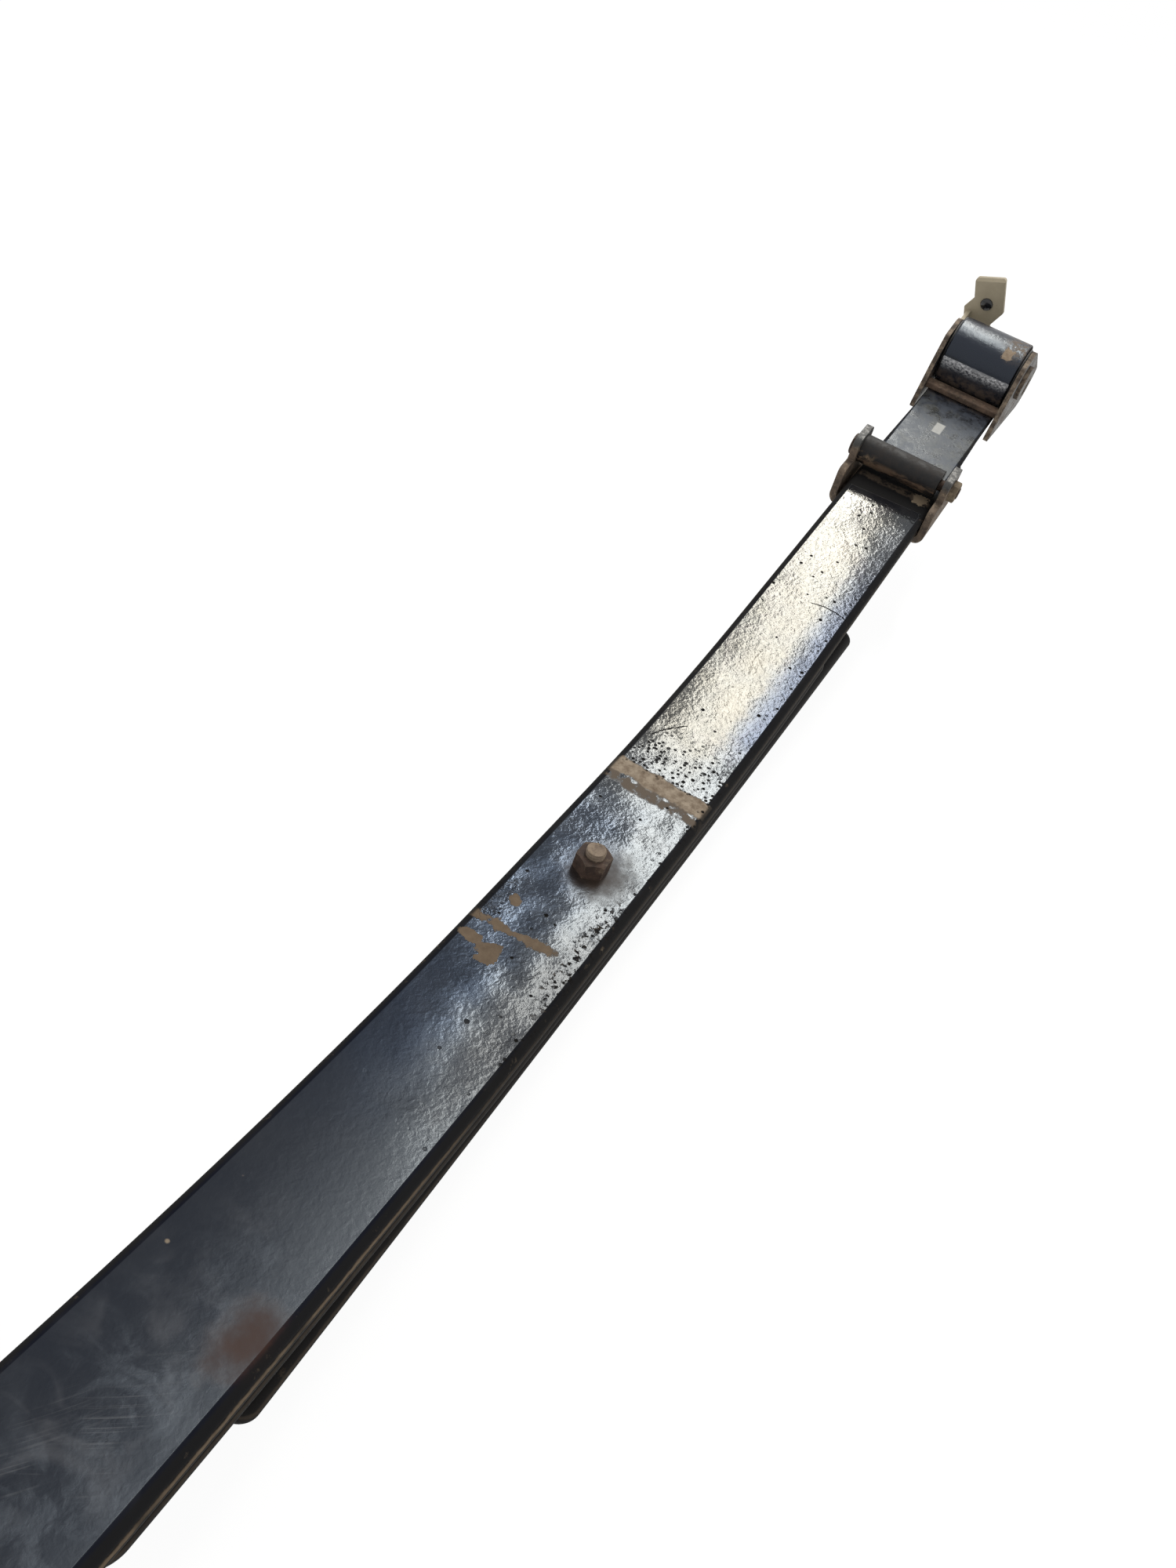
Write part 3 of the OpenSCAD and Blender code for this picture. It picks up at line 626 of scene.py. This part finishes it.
def leaf_zones(f):
    """Masks of the main leaf's stretches, which its layers share and add to."""
    m = SimpleNamespace()
    m.upper = f.ramp(f.nz, 0.55, 0.85)
    m.wrinkled = f.ramp_mm(f.ragged_mm(f.less(f.x, f.y), 30, 30), -190, -70)
    m.near = f.without(m.wrinkled)
    m.beyond_clip = f.along(436, 450)
    m.eye = f.along(553, 562)
    m.strip = f.times(m.beyond_clip, f.without(m.eye))
    m.mirror = f.times(f.along(376, 394), f.without(m.beyond_clip))
    return m


def base_coats(f, m):
    """Paint, dust film and the dull strip between clip and eye; gives the roughness."""
    f.color = f.mix(m.wrinkled, NEAR_BLUE, FAR_BLACK)
    f.coat(m.eye, EYE_BLUE)
    film = f.ramp(f.noise(22, 5.0, 0.65), 0.35, 0.75)
    f.coat(f.times(film, f.blend(m.wrinkled, 0.03, 0.07), f.without(m.eye)), FILM_GREY)
    mottle = f.times(m.strip, f.ramp(f.noise(11, 6.0, 0.7), 0.38, 0.60))
    dust = f.times(m.strip, f.ramp(f.noise(17, 4.0, 0.6, None, 0.6), 0.48, 0.66))
    f.coat(mottle, STRIP_BLUE, 0.6)
    f.coat(dust, STRIP_DUST, 0.4)
    smooth, wrinkled = f.blend(f.noise(40), 0.13, 0.22), f.blend(f.noise(12), 0.11, 0.17)
    rough = f.blend(m.wrinkled, smooth, wrinkled)
    rough = f.blend(m.strip, rough, f.blend(mottle, 0.24, 0.42))
    streaky = f.noise(5, 3.0, 0.6, (1.0, 0.3, 1.0))
    rough = f.blend(m.eye, rough, f.blend(streaky, 0.18, 0.36))
    return f.blend(m.mirror, rough, 0.07)


def clamp_marks(f, m):
    """Bands and patches where the axle's clamp rubbed the paint off."""
    wide = f.ragged_mm(f.ragged_mm(f.x, 14, 4, 3.0), 4, 2.2, 6.0)
    far_band = f.band_mm(wide, 70.5, 83.0, 0.8)
    m.brown_band = f.times(f.band_mm(wide, 62.5, 72.0, 1.2),
                           f.ramp(f.noise(6, 5.0, 0.6), 0.36, 0.52))
    near_x = f.ragged_mm(f.ragged_mm(f.x, 9, 6), 3, 2)
    near_x = f.add(near_x, f.times(f.y, 0.09))
    near_band = f.times(f.band_mm(near_x, -61.2, -56.4, 0.5),
                        f.ramp_mm(f.ragged_mm(f.y, 8, 8), -14, -11),
                        f.ramp(f.noise(6, 4.0, 0.6), 0.30, 0.36))
    patches = f.most(f.spot((-74, 21, 33.8), (3.8, 7, 9), 0.06, 0.9, 5),
                     f.spot((-77.5, 10, 33.9), (6.2, 6, 9), 0.06, 1.1, 5),
                     f.spot((-43, 17, 33.6), (3.6, 3.2, 6), 0.06, 1.0, 4))
    m.lips = f.times(f.spot((-50, -24, 33.6), (36, 6, 8), 0.4, 0.5, 8),
                     f.ramp(f.noise(3.4, 5.0, 0.65), 0.55, 0.60))
    flaked = f.times(m.lips, f.ramp(f.noise(2.2), 0.5, 0.6))
    m.rusty = f.times(f.most(far_band, near_band, patches, flaked), m.upper)
    m.curled = f.times(f.spot((-46, 25, 33.6), (15, 5, 8), 0.4, 0.6, 6),
                       f.ramp(f.noise(5, 3.0, 0.5, None, 1.2), 0.48, 0.56))
    cloud = f.noise(5, 6.0, 0.65)
    band_tan = f.mix(f.ramp(cloud, 0.30, 0.70), *BAND_TANS)
    f.coat(m.brown_band, BAND_BROWN, 0.8)
    f.coat(m.rusty, f.mix(f.along(0, 30), f.mix(cloud, *NEAR_TANS), band_tan))


def pits_and_stains(f, m):
    """Speckle, pits and cracks of the wrinkled paint, and brown stains."""
    speckle = f.times(f.ramp_mm(f.ragged_mm(f.x, 12, 16), 132, 92), f.along(78, 84),
                      f.most(f.specks(2.6, 0.55, 0.30), f.specks(4.5, 0.40, 0.22)))
    pits = f.times(m.wrinkled, f.most(f.specks(10, 0.40, 0.10), f.specks(6.0, 0.16, 0.13)))
    edge_pits = f.times(f.sideways(-19, -28), m.wrinkled, f.specks(3.4, 0.30, 0.24))
    crack_a = f.arc((248, -15, 55), 31, 0.35,
                    f.spot((278, -15, 57), (9, 13, 12), 0.1, 0.2, 9))
    crack_b = f.arc((88, -33, 36), 60, 0.3,
                    f.spot((120, 18, 36), (12, 12, 9), 0.1, 0.2, 9))
    holes = f.most(speckle, pits, edge_pits, crack_a, crack_b, f.times(m.lips, 0.9))
    m.holes = f.times(holes, m.upper, f.without(m.strip))
    brown = f.most(f.spot((165, -2, 41), (16, 7, 12), 0.8, 0.5, 9),
                   f.spot((205, 3, 46), (12, 6, 12), 0.8, 0.5, 9),
                   f.spot((330, 5, 68), (20, 6, 14), 0.8, 0.5, 9))
    m.halo = f.spot((0, -5, 33.6), (14, 13, 6), 0.85, 0.7, 5)
    m.stain = f.spot((-267, -20, 72), (15, 10, 30), 0.5, 0.5, 9)
    f.coat(brown, FILM_BROWN, 0.35)
    f.coat(m.holes, PIT_BLACK)
    f.coat(m.halo, HALO_BROWN, 0.6)
    f.coat(m.stain, STAIN_RED, 0.8)


def clip_shade(f, m):
    """The shaded, dirty stretch in front of the clip's tube and under it."""
    skewed = f.add(f.x, f.times(f.y, 0.08))
    m.shade = f.times(f.ramp_mm(skewed, 407.4, 408.1), f.along(440, 436))
    m.streak = f.times(f.band_mm(f.ragged_mm(f.x, 6, 3, 5.0), 420.5, 427.5, 1.2),
                       f.ramp(f.noise(7, 5.0, 0.6), 0.40, 0.55))
    m.tan_end = f.spot((424, -20, 85.6), (6, 5.5, 8), 0.12, 1.1, 5)
    f.coat(m.shade, SHADE_BLACK, 0.92)
    f.coat(m.streak, STREAK_BROWN, 0.8)
    f.coat(m.tan_end, TAN, 0.9)


def near_wear(f, m):
    """Specks, smudges, haze and scuffed arcs of the smooth near half."""
    f.coat(f.times(f.specks(17, 0.30, 0.055), m.near), TAN, 0.8)
    smudge = f.times(f.ramp(f.noise(26, 3.0, 0.5, None, 1.6), 0.46, 0.68),
                     f.spot((-305, 0, 78), (70, 22, 45), 0.7, 0.5, 25), m.near)
    f.coat(smudge, SMUDGE_GREY, 0.30)
    m.haze = f.times(f.ramp(f.noise(24, 5.0, 0.6, None, 1.8), 0.42, 0.64),
                     f.spot((-318, -4, 80), (78, 25, 45), 0.7, 0.5, 25))
    scuffs = [f.times(f.rubbed(middle), f.spot(patch, radii, 0.8, 0.4, 20), m.near)
              for middle, patch, radii in SCUFFS]
    f.coat(f.most(*scuffs), SCUFF_GREY, 0.40)


def label_and_eye(f, m):
    """The blank pale label, the bare and dusty places of the rolled eye, its lower front lighter
    grey, and a painted highlight band with a painted shade line along its top.
    """
    m.label = f.times(f.band_mm(f.x, 508, 522, 0.4), f.band_mm(f.y, -2.5, 4.5, 0.4), m.upper)
    f.coat(m.label, f.mix(f.noise(3), *LABEL_GREYS))
    m.bare = f.spot((570, -15.5, 154), (7, 4.6, 4), 0.08, 1.3, 4)
    m.worn = f.times(f.spot((580, -21, 159), (14, 10, 9), 0.7, 0.7, 6),
                     f.ramp(f.noise(3, 5.0), 0.38, 0.60))
    f.coat(m.worn, f.mix(f.noise(4), *WORN_BROWNS), 0.7)
    f.coat(m.bare, f.mix(f.noise(2), RUST, PALE_TAN), 0.9)
    front = f.times(m.eye, f.along(580, 572))
    f.coat(f.times(front, f.upward(138.5, 134.0)), ROLL_GREY, 0.75)
    # Painted highlight: a streaked bright band on the roll's lower front stands in for a
    # reflection; its top edge follows crest
    crest = f.ragged_mm(f.z, 5, 0.6, 5.0)
    highlight_streaks = f.times(f.ramp(f.noise(1.3, 4.0, 0.65, (1.0, 0.6, 1.0)), 0.34, 0.66),
                      f.ramp(f.noise(12, 3.0), 0.22, 0.50))
    highlight_streaks = f.blend(f.ramp_mm(crest, 133.5, 136.2), highlight_streaks, f.most(highlight_streaks, 0.35))
    painted_highlight_band = f.times(f.ramp_mm(crest, 137.8, 136.8), f.ramp_mm(crest, 127.5, 136.6))
    f.coat(f.times(front, painted_highlight_band, highlight_streaks), ROLL_PAINTED_HIGHLIGHT, 0.9)
    # Painted shade: a thin black line along the top of the painted highlight, where a crease
    # would shade the roll
    crease_shade = f.band_mm(f.ragged_mm(f.z, 6, 0.5), 137.6, 138.6, 0.3)
    f.coat(f.times(front, crease_shade, f.sideways(4, 16)), CREASE_SHADE_BLACK)
    m.low = f.times(front, f.upward(131, 122), f.ramp(f.noise(5, 5.0), 0.34, 0.62))
    f.coat(m.low, LOW_BROWN, 0.75)


def dark_sides(f, m):
    """The leaf's sides: dark, with a little dust, and matt from their upper edge on."""
    across = f.size_of(f.ny)
    m.side = f.blend(m.eye, f.ramp(across, 0.12, 0.50), f.ramp(across, 0.55, 0.85))
    m.rim = f.times(f.ramp(across, 0.01, 0.14), f.without(m.eye))
    f.coat(m.side, SIDE_BLACK, 0.85)
    f.coat(f.times(m.side, f.ramp(f.noise(6, 6.0, 0.7), 0.60, 0.78)), TAN, 0.4)


def matt_places(f, m):
    return f.most(m.rusty, m.holes, m.tan_end, m.bare, m.label, m.low, m.side, m.rim,
                  m.shade, m.streak, f.times(m.halo, 0.5), f.times(m.stain, 0.5),
                  f.times(m.brown_band, 0.8), f.times(m.worn, 0.7))


def paint_relief(f, m):
    """Clouds, wrinkles and grain of the paint, its curled edge, pits and bare places."""
    tilt = f.times(m.wrinkled, f.blend(m.strip, 1.0, 0.35),
                   f.blend(f.most(m.mirror, m.shade), 1.0, 0.35))
    clouds, wrinkles = f.noise(34, 1.0), f.noise(3.2, 3.0, 0.55, None, 0.4)
    grain = f.noise(1.3, 2.0, 0.5)
    normal = f.bump(clouds, 2.2, f.times(tilt, f.blend(f.along(80, 160), 0.85, 0.28)))
    normal = f.bump(wrinkles, 0.75, f.blend(tilt, f.blend(m.eye, 0.05, 0.10), 0.20), normal)
    normal = f.bump(grain, 0.3, f.blend(tilt, 0.02, 0.12), normal)
    normal = f.bump(m.curled, 0.8, 0.8, normal)
    normal = f.bump(f.without(m.holes), 0.35, 0.8, normal)
    return f.bump(m.rusty, 0.12, 0.7, normal)


def glare_tint(f):
    """Warm on the far half, blue at the left of the clamp, dull at its right."""
    warm = f.times(f.ramp_mm(f.ragged_mm(f.y, 14, 12), -24, -4), f.along(70, 130),
                   f.along(440, 400), f.blend(f.noise(16, 3.0), 0.55, 1.0))
    tint = f.mix(warm, COOL_TINT, WARM_TINT)
    sky = f.times(f.ramp_mm(f.ragged_mm(f.x, 20, 15), -210, -120),
                  f.ramp_mm(f.ragged_mm(f.x, 12, 8), 62, 30),
                  f.ramp_mm(f.ragged_mm(f.y, 14, 10), -14, 12))
    tint = f.mix(sky, tint, SKY_TINT)
    blue_edge = f.times(f.ramp_mm(f.ragged_mm(f.y, 10, 6), -8, -25), f.along(110, 150),
                        f.along(400, 280))
    tint = f.mix(f.times(blue_edge, 0.85), tint, BLUE_TINT)
    dull = f.spot((-95, -23, 37), (58, 15, 24), 0.6, 0.5, 12)
    return f.mix(f.times(dull, 0.7), tint, DULL_TINT)


def main_paint():
    f = Finish("spring_paint_main")
    m = leaf_zones(f)
    rough = base_coats(f, m)
    clamp_marks(f, m)
    pits_and_stains(f, m)
    clip_shade(f, m)
    near_wear(f, m)
    label_and_eye(f, m)
    dark_sides(f, m)
    matt = matt_places(f, m)
    gloss = f.blend(m.wrinkled, f.blend(m.haze, 0.29, 0.56), 0.5)
    return f.set(Roughness=f.blend(matt, rough, 0.8), Normal=paint_relief(f, m), IOR=1.45,
                 Specular_IOR_Level=f.blend(matt, gloss, 0.05), Specular_Tint=glare_tint(f))


def lower_paint(name, line):
    """Dull paint with a tan line of strength line under the leaf above, on its upper rounded
    edge: dust and painted highlight.
    """
    f = Finish(name)
    # Tan line on the upward-facing part of the rounded edge: painted highlight, with dust
    dust_and_highlight = f.times(f.band(f.ragged(f.nz, 5, 0.14, 5.0), 0.26, 0.57, 0.09),
                    f.blend(f.along(-100, -220), 0.15, 0.9), line,
                    f.ramp(f.noise(26, 3.0), 0.28, 0.50))
    blot = f.ramp(f.noise(7, 6.0, 0.7), 0.60, 0.76)
    f.color = f.mix(f.noise(30), (0.0085, 0.0085, 0.0090), (0.0165, 0.0150, 0.0140))
    f.coat(dust_and_highlight, f.mix(f.noise(4, 5.0), (0.12, 0.085, 0.06), TAN), 0.9)
    f.coat(blot, f.mix(f.noise(9), RUST, TAN), 0.25)
    rough = f.blend(f.most(dust_and_highlight, blot), 0.48, 0.85)
    normal = f.bump(f.noise(2.0, 5.0, 0.6), 0.5, 0.35)
    return f.set(Roughness=rough, Normal=normal, IOR=1.4, Specular_IOR_Level=0.07)


def rusty_steel(name, light, dark, tan_share, bare=None):
    """Brown steel with tan flecks and edges, and bare metal where bare(f) tells."""
    f = Finish(name)
    rounded, edges = f.soft_edges(0.7)
    patches = f.noise(8, 6.0, 0.68)
    flecks = f.ramp(f.noise(5.5, 6.0, 0.7, (1.0, 1.0, 1.3)), 0.54, 0.66)
    # Tan on the rounded edges: dust, and painted highlight
    edge_dust_and_highlight = f.times(edges, f.ramp(f.noise(5, 5.0), 0.40, 0.60), 0.6)
    f.color = f.mix(f.ramp(patches, 0.32, 0.68), dark, light)
    f.coat(f.most(f.times(flecks, tan_share), edge_dust_and_highlight), TAN)
    rough = f.blend(patches, 0.62, 0.88)
    metal = 0.0
    if bare:
        shine, crest = bare(f)
        grain = f.noise(2.0, 5.0, 0.6)
        f.coat(shine, f.mix(grain, (0.022, 0.022, 0.022), (0.085, 0.084, 0.081)))
        worn = f.times(f.most(f.times(edges, 0.6), crest), shine,
                       f.ramp(f.noise(3, 4.0, 0.6), 0.42, 0.66))
        f.coat(worn, (0.19, 0.186, 0.179))
        rough = f.blend(shine, rough, 0.48)
        metal = f.times(worn, 0.4)
    normal = f.bump(f.noise(1.6, 6.0, 0.65), 0.5, 0.55, rounded)
    normal = f.bump(patches, 0.6, 0.35, normal)
    return f.set(Roughness=rough, Metallic=metal, Normal=normal, Specular_IOR_Level=0.3)


def ear_tops(side, clip_x):
    """Bare metal on the tops of a clip's ears, from their height above the leaf."""
    slope = side["bend"] if side is REAR else -side["bend"]
    at_x = clip_x if side is REAR else -clip_x
    end = arch(side, 0)[-1]
    at_z = end[1] + (clip_x - end[0]) * tan(side["bend"])

    def bare(f):
        up = f.add(f.times(f.less(f.x, at_x * MM), -sin(slope)),
                   f.times(f.less(f.z, at_z * MM), cos(slope)))
        worn = f.ramp_mm(f.ragged_mm(up, 4, 4.5, 5.0), 16.0, 21.5)
        return worn, f.ramp_mm(up, 24.0, 24.7)
    return bare


def tube_steel():
    f = Finish("tube_steel")
    blot = f.ramp(f.noise(8, 6.0, 0.65), 0.42, 0.68)
    underside = f.times(f.ramp(f.size_of(f.nx), 0.3, 0.6), f.ramp(f.nz, 0.05, -0.35))
    streak = f.times(underside, f.ramp(f.noise(7, 5.0, 0.6, (1.0, 0.35, 1.0)), 0.44, 0.58))
    end = f.times(f.ramp_mm(f.ragged_mm(f.y, 5, 6), 17, 26), f.ramp(f.nz, 0.35, -0.15),
                  f.ramp(f.noise(4, 5.0), 0.48, 0.62))
    f.color = f.mix(blot, (0.0095, 0.0090, 0.0095), (0.024, 0.020, 0.018))
    f.coat(streak, f.mix(f.noise(4), RUST, (0.15, 0.11, 0.075)), 0.85)
    f.coat(end, (0.15, 0.105, 0.068))
    normal = f.bump(f.noise(1.5, 5.0, 0.6), 0.3, 0.4)
    return f.set(Roughness=f.blend(blot, 0.50, 0.72), Normal=normal, Specular_IOR_Level=0.25)


def shackle_steel():
    f = Finish("shackle_steel")
    rounded, edges = f.soft_edges(0.6)
    # Rims and edges painted lighter tan: worn edges, and painted highlight
    rim = f.most(f.ramp(f.size_of(f.ny), 0.75, 0.45), f.times(edges, 0.7))
    brown = f.ramp(f.noise(9, 6.0, 0.68), 0.46, 0.64)
    cloud = f.ramp(f.noise(5, 6.0, 0.65), 0.38, 0.68)
    f.color = f.mix(brown, (0.014, 0.0135, 0.0145), (0.075, 0.052, 0.037))
    f.coat(rim, f.mix(cloud, (0.046, 0.033, 0.024), (0.20, 0.155, 0.112)))
    rough = f.blend(f.most(rim, brown), 0.45, 0.75)
    normal = f.bump(f.noise(1.8, 6.0, 0.65), 0.45, 0.5, rounded)
    return f.set(Roughness=rough, Normal=normal, Specular_IOR_Level=0.35)


def bracket_paint():
    f = Finish("bracket_paint")
    rounded, edges = f.soft_edges(0.5)
    cloud = f.noise(14, 5.0, 0.6)
    f.color = f.mix(f.ramp(cloud, 0.3, 0.7), (0.285, 0.243, 0.168), (0.335, 0.288, 0.203))
    f.coat(f.ramp(f.noise(6, 6.0, 0.7), 0.62, 0.78), (0.08, 0.065, 0.045), 0.5)
    # Lighter edges: painted highlight on the rounded edges, with worn paint
    f.coat(edges, (0.42, 0.37, 0.28), 0.5)
    normal = f.bump(f.noise(0.9, 3.0), 0.12, 0.35, rounded)
    return f.set(Roughness=f.blend(cloud, 0.42, 0.6), Normal=normal)


def plastic(name, dark, light, rough_low, rough_high, size_mm):
    f = Finish(name)
    cloud = f.noise(size_mm, 4.0, 0.6)
    f.color = f.mix(cloud, dark, light)
    normal = f.bump(f.noise(0.8, 3.0), 0.05, 0.3)
    return f.set(Roughness=f.blend(cloud, rough_low, rough_high), Normal=normal)


def bush_rubber():
    f = Finish("bush_rubber")
    dust = f.ramp(f.noise(5, 6.0, 0.65), 0.45, 0.72)
    f.color = f.mix(f.times(dust, 0.5), (0.012, 0.012, 0.0125), (0.085, 0.075, 0.062))
    normal = f.bump(f.noise(1.0, 4.0), 0.15, 0.4)
    return f.set(Roughness=f.blend(dust, 0.55, 0.85), Normal=normal)


def bush_steel():
    f = Finish("bush_steel")
    blot = f.ramp(f.noise(6, 6.0, 0.68), 0.45, 0.66)
    f.color = f.mix(blot, (0.42, 0.41, 0.40), (0.15, 0.105, 0.075))
    normal = f.bump(f.noise(1.2, 5.0), 0.2, 0.4)
    return f.set(Roughness=f.blend(blot, 0.36, 0.75), Metallic=f.blend(blot, 0.9, 0.1),
                 Normal=normal)


def dress(material, *names):
    """Gives CAD nodes a material."""
    for name in names:
        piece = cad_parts[name]
        piece.data.materials.clear()
        piece.data.materials.append(material)


def clothe(piece, material):
    piece.data.materials.append(material)


# Pieces

PACK = "spring_pack"
main = leaf("main_leaf_smooth", main_half(REAR), main_half(FRONT), main_width, LEAF_T, main_edge)
stands_for(main, PACK, "spring_paint", "main_leaf")
clothe(main, main_paint())

LOWER = {"second": lower_paint("second_paint", 1.0), "third": lower_paint("third_paint", 0.2)}
depth = LEAF_T + LEAF_GAP
for key in ("second", "third"):
    reach = REACH[key]
    rear, front = plain_half(REAR, depth, reach[0]), plain_half(FRONT, depth, reach[1])
    piece = leaf(key + "_leaf_smooth", rear, front, tip_width(reach, TIP_R), LEAF_T)
    stands_for(piece, PACK, "spring_paint", key + "_leaf")
    clothe(piece, LOWER[key])
    depth += LEAF_T + LEAF_GAP
reach = REACH["overload"]
rear, front = overload_half(depth, reach[0]), overload_half(depth, reach[1])
overload = leaf("overload_leaf_smooth", rear, front, tip_width(reach, OVERLOAD_TIP_R), OVERLOAD_T)
stands_for(overload, PACK, "spring_paint", "overload_leaf")
clothe(overload, LOWER["third"])

RUBBER = bush_rubber()
for side, sign in (("left", 1), ("right", -1)):
    piece = rear_rubber("rear_rubber_" + side, sign)
    stands_for(piece, PACK, "bush_rubber", "rear_bush_rubber_" + side)
    clothe(piece, RUBBER)
piece = front_rubber("front_rubber")
stands_for(piece, PACK, "bush_rubber", "front_bush_rubber")
clothe(piece, RUBBER)

BOLT_STEEL = rusty_steel("bolt_steel", (0.27, 0.21, 0.155), (0.085, 0.058, 0.042), 1.0)
bolt = centre_bolt("centre_bolt_threaded")
stands_for(bolt, PACK, "rusty_steel", "centre_bolt")
clothe(bolt, BOLT_STEEL)

NUT_STEEL = rusty_steel("nut_steel", (0.080, 0.050, 0.036), (0.028, 0.019, 0.016), 0.35)
CLIP_NUT_STEEL = rusty_steel("clip_nut_steel", (0.190, 0.150, 0.100), (0.085, 0.062, 0.042), 0.6)
WEB_STEEL = rusty_steel("web_steel", (0.150, 0.100, 0.070), (0.060, 0.041, 0.030), 0.45)
STRAP_BROWN, STRAP_DARK = (0.155, 0.115, 0.083), (0.056, 0.043, 0.035)
dress(NUT_STEEL, "centre_nut", "rear_clip_bolt", "rear_clip_rivet", "front_clip_bolt",
      "front_clip_rivet")
dress(CLIP_NUT_STEEL, "rear_clip_nut", "front_clip_nut")
for key, side, clip_x in (("rear", REAR, REAR_CLIP_X), ("front", FRONT, FRONT_CLIP_X)):
    bare = ear_tops(side, clip_x)
    steel = rusty_steel(key + "_strap_steel", STRAP_BROWN, STRAP_DARK, 0.75, bare)
    dress(steel, key + "_clip_strap")
dress(tube_steel(), "rear_clip_tube", "front_clip_tube")
dress(shackle_steel(), "shackle_plate_left", "shackle_plate_right", "shackle_pin",
      "shackle_pin_collar", "bracket_rivet")
dress(WEB_STEEL, "shackle_web")
dress(bracket_paint(), "cable_bracket")

PLUG_PLASTIC = plastic("plug_plastic", (0.006, 0.006, 0.007), (0.012, 0.012, 0.013),
                       0.10, 0.20, 6)
BUTTON_PLASTIC = plastic("button_plastic", (0.045, 0.045, 0.043), (0.075, 0.074, 0.070),
                         0.5, 0.7, 8)
piece = bracket_plug("bracket_plug_domed")
stands_for(piece, "shackle", "dark_plastic", "bracket_plug")
clothe(piece, PLUG_PLASTIC)
dress(BUTTON_PLASTIC, "second_leaf_buttons", "third_leaf_buttons")
dress(bush_steel(), "front_bush_shell", "front_bush_sleeve", "rear_bush_shell",
      "rear_bush_sleeve")


# Floor, light and camera

FLOOR_Z = -0.0102
FLOOR_SIZE = 30.0
FLOOR_WHITE = (0.86, 0.86, 0.855)
FLOOR_ROUGH = 0.9
FLOOR_GLOW = 1.05
FLOOR_GLOW_SHARE = 0.88
WORLD_DIFFUSE = 0.74


def make_floor():
    """A white floor that takes a little shade, and glows for the camera alone."""
    bpy.ops.mesh.primitive_plane_add(size=FLOOR_SIZE, location=(0, 0, FLOOR_Z))
    floor = bpy.context.object
    floor.name = "floor"
    material = bpy.data.materials.new("floor_white")
    material.use_nodes = True
    tree = material.node_tree
    shader = tree.nodes["Principled BSDF"]
    shader.inputs["Base Color"].default_value = FLOOR_WHITE + (1,)
    shader.inputs["Roughness"].default_value = FLOOR_ROUGH
    shader.inputs["Specular IOR Level"].default_value = 0.0
    glow = tree.nodes.new("ShaderNodeEmission")
    glow.inputs["Color"].default_value = (1, 1, 1, 1)
    glow.inputs["Strength"].default_value = FLOOR_GLOW
    path = tree.nodes.new("ShaderNodeLightPath")
    share = tree.nodes.new("ShaderNodeMath")
    share.operation = "MULTIPLY"
    tree.links.new(path.outputs["Is Camera Ray"], share.inputs[0])
    share.inputs[1].default_value = FLOOR_GLOW_SHARE
    both = tree.nodes.new("ShaderNodeMixShader")
    tree.links.new(share.outputs[0], both.inputs[0])
    tree.links.new(shader.outputs[0], both.inputs[1])
    tree.links.new(glow.outputs[0], both.inputs[2])
    tree.links.new(both.outputs[0], tree.nodes["Material Output"].inputs["Surface"])
    floor.data.materials.append(material)


def make_world():
    """A white world, dimmer for diffuse light than for what is seen or mirrored."""
    world = bpy.data.worlds.new("studio")
    bpy.context.scene.world = world
    world.use_nodes = True
    tree = world.node_tree
    background = tree.nodes["Background"]
    background.inputs["Color"].default_value = (1, 1, 1, 1)
    path = tree.nodes.new("ShaderNodeLightPath")
    seen = path.outputs["Is Camera Ray"]
    for name in ("Is Glossy Ray", "Is Transmission Ray"):
        either = tree.nodes.new("ShaderNodeMath")
        either.operation = "MAXIMUM"
        tree.links.new(seen, either.inputs[0])
        tree.links.new(path.outputs[name], either.inputs[1])
        seen = either.outputs[0]
    level = tree.nodes.new("ShaderNodeMapRange")
    tree.links.new(seen, level.inputs[0])
    level.inputs[3].default_value = WORLD_DIFFUSE
    level.inputs[4].default_value = 1.0
    tree.links.new(level.outputs[0], background.inputs["Strength"])


def soft_box(name, middle, turn_deg, long, wide, watts, tint):
    """A level panel lamp that shines down, its long side turned from +X towards +Y."""
    data = bpy.data.lights.new(name, "AREA")
    data.shape = "RECTANGLE"
    data.size = long
    data.size_y = wide
    data.energy = watts
    data.color = tint
    lamp = bpy.data.objects.new(name, data)
    lamp.location = middle
    lamp.rotation_euler = (0, 0, radians(turn_deg))
    bpy.context.scene.collection.objects.link(lamp)
    lamp.visible_camera = False


def make_camera():
    data = bpy.data.cameras.new("camera")
    data.sensor_fit = "AUTO"
    data.sensor_width = SENSOR_MM
    data.lens = FOCAL_PX / max(IMAGE_W, IMAGE_H) * SENSOR_MM
    data.clip_start = CAMERA_CLIP
    camera = bpy.data.objects.new("camera", data)
    bpy.context.scene.collection.objects.link(camera)
    right = Vector(CAMERA_RIGHT).normalized()
    up = -Vector(CAMERA_DOWN).normalized()
    turn = Matrix((right, up, right.cross(up))).transposed()
    camera.matrix_world = Matrix.Translation(CAMERA_AT) @ turn.to_4x4()
    bpy.context.scene.camera = camera


make_floor()
make_world()
soft_box("strip_box", middle=(1.20, 0.209, 1.40), turn_deg=13.0, long=1.5, wide=0.145,
         watts=17.5, tint=(1.0, 0.97, 0.90))
soft_box("fill_box", middle=(0.85, 0.32, 1.40), turn_deg=10.5, long=0.7, wide=0.16,
         watts=0.9, tint=(0.95, 0.97, 1.0))
make_camera()
bpy.context.scene.view_settings.view_transform = "Standard"
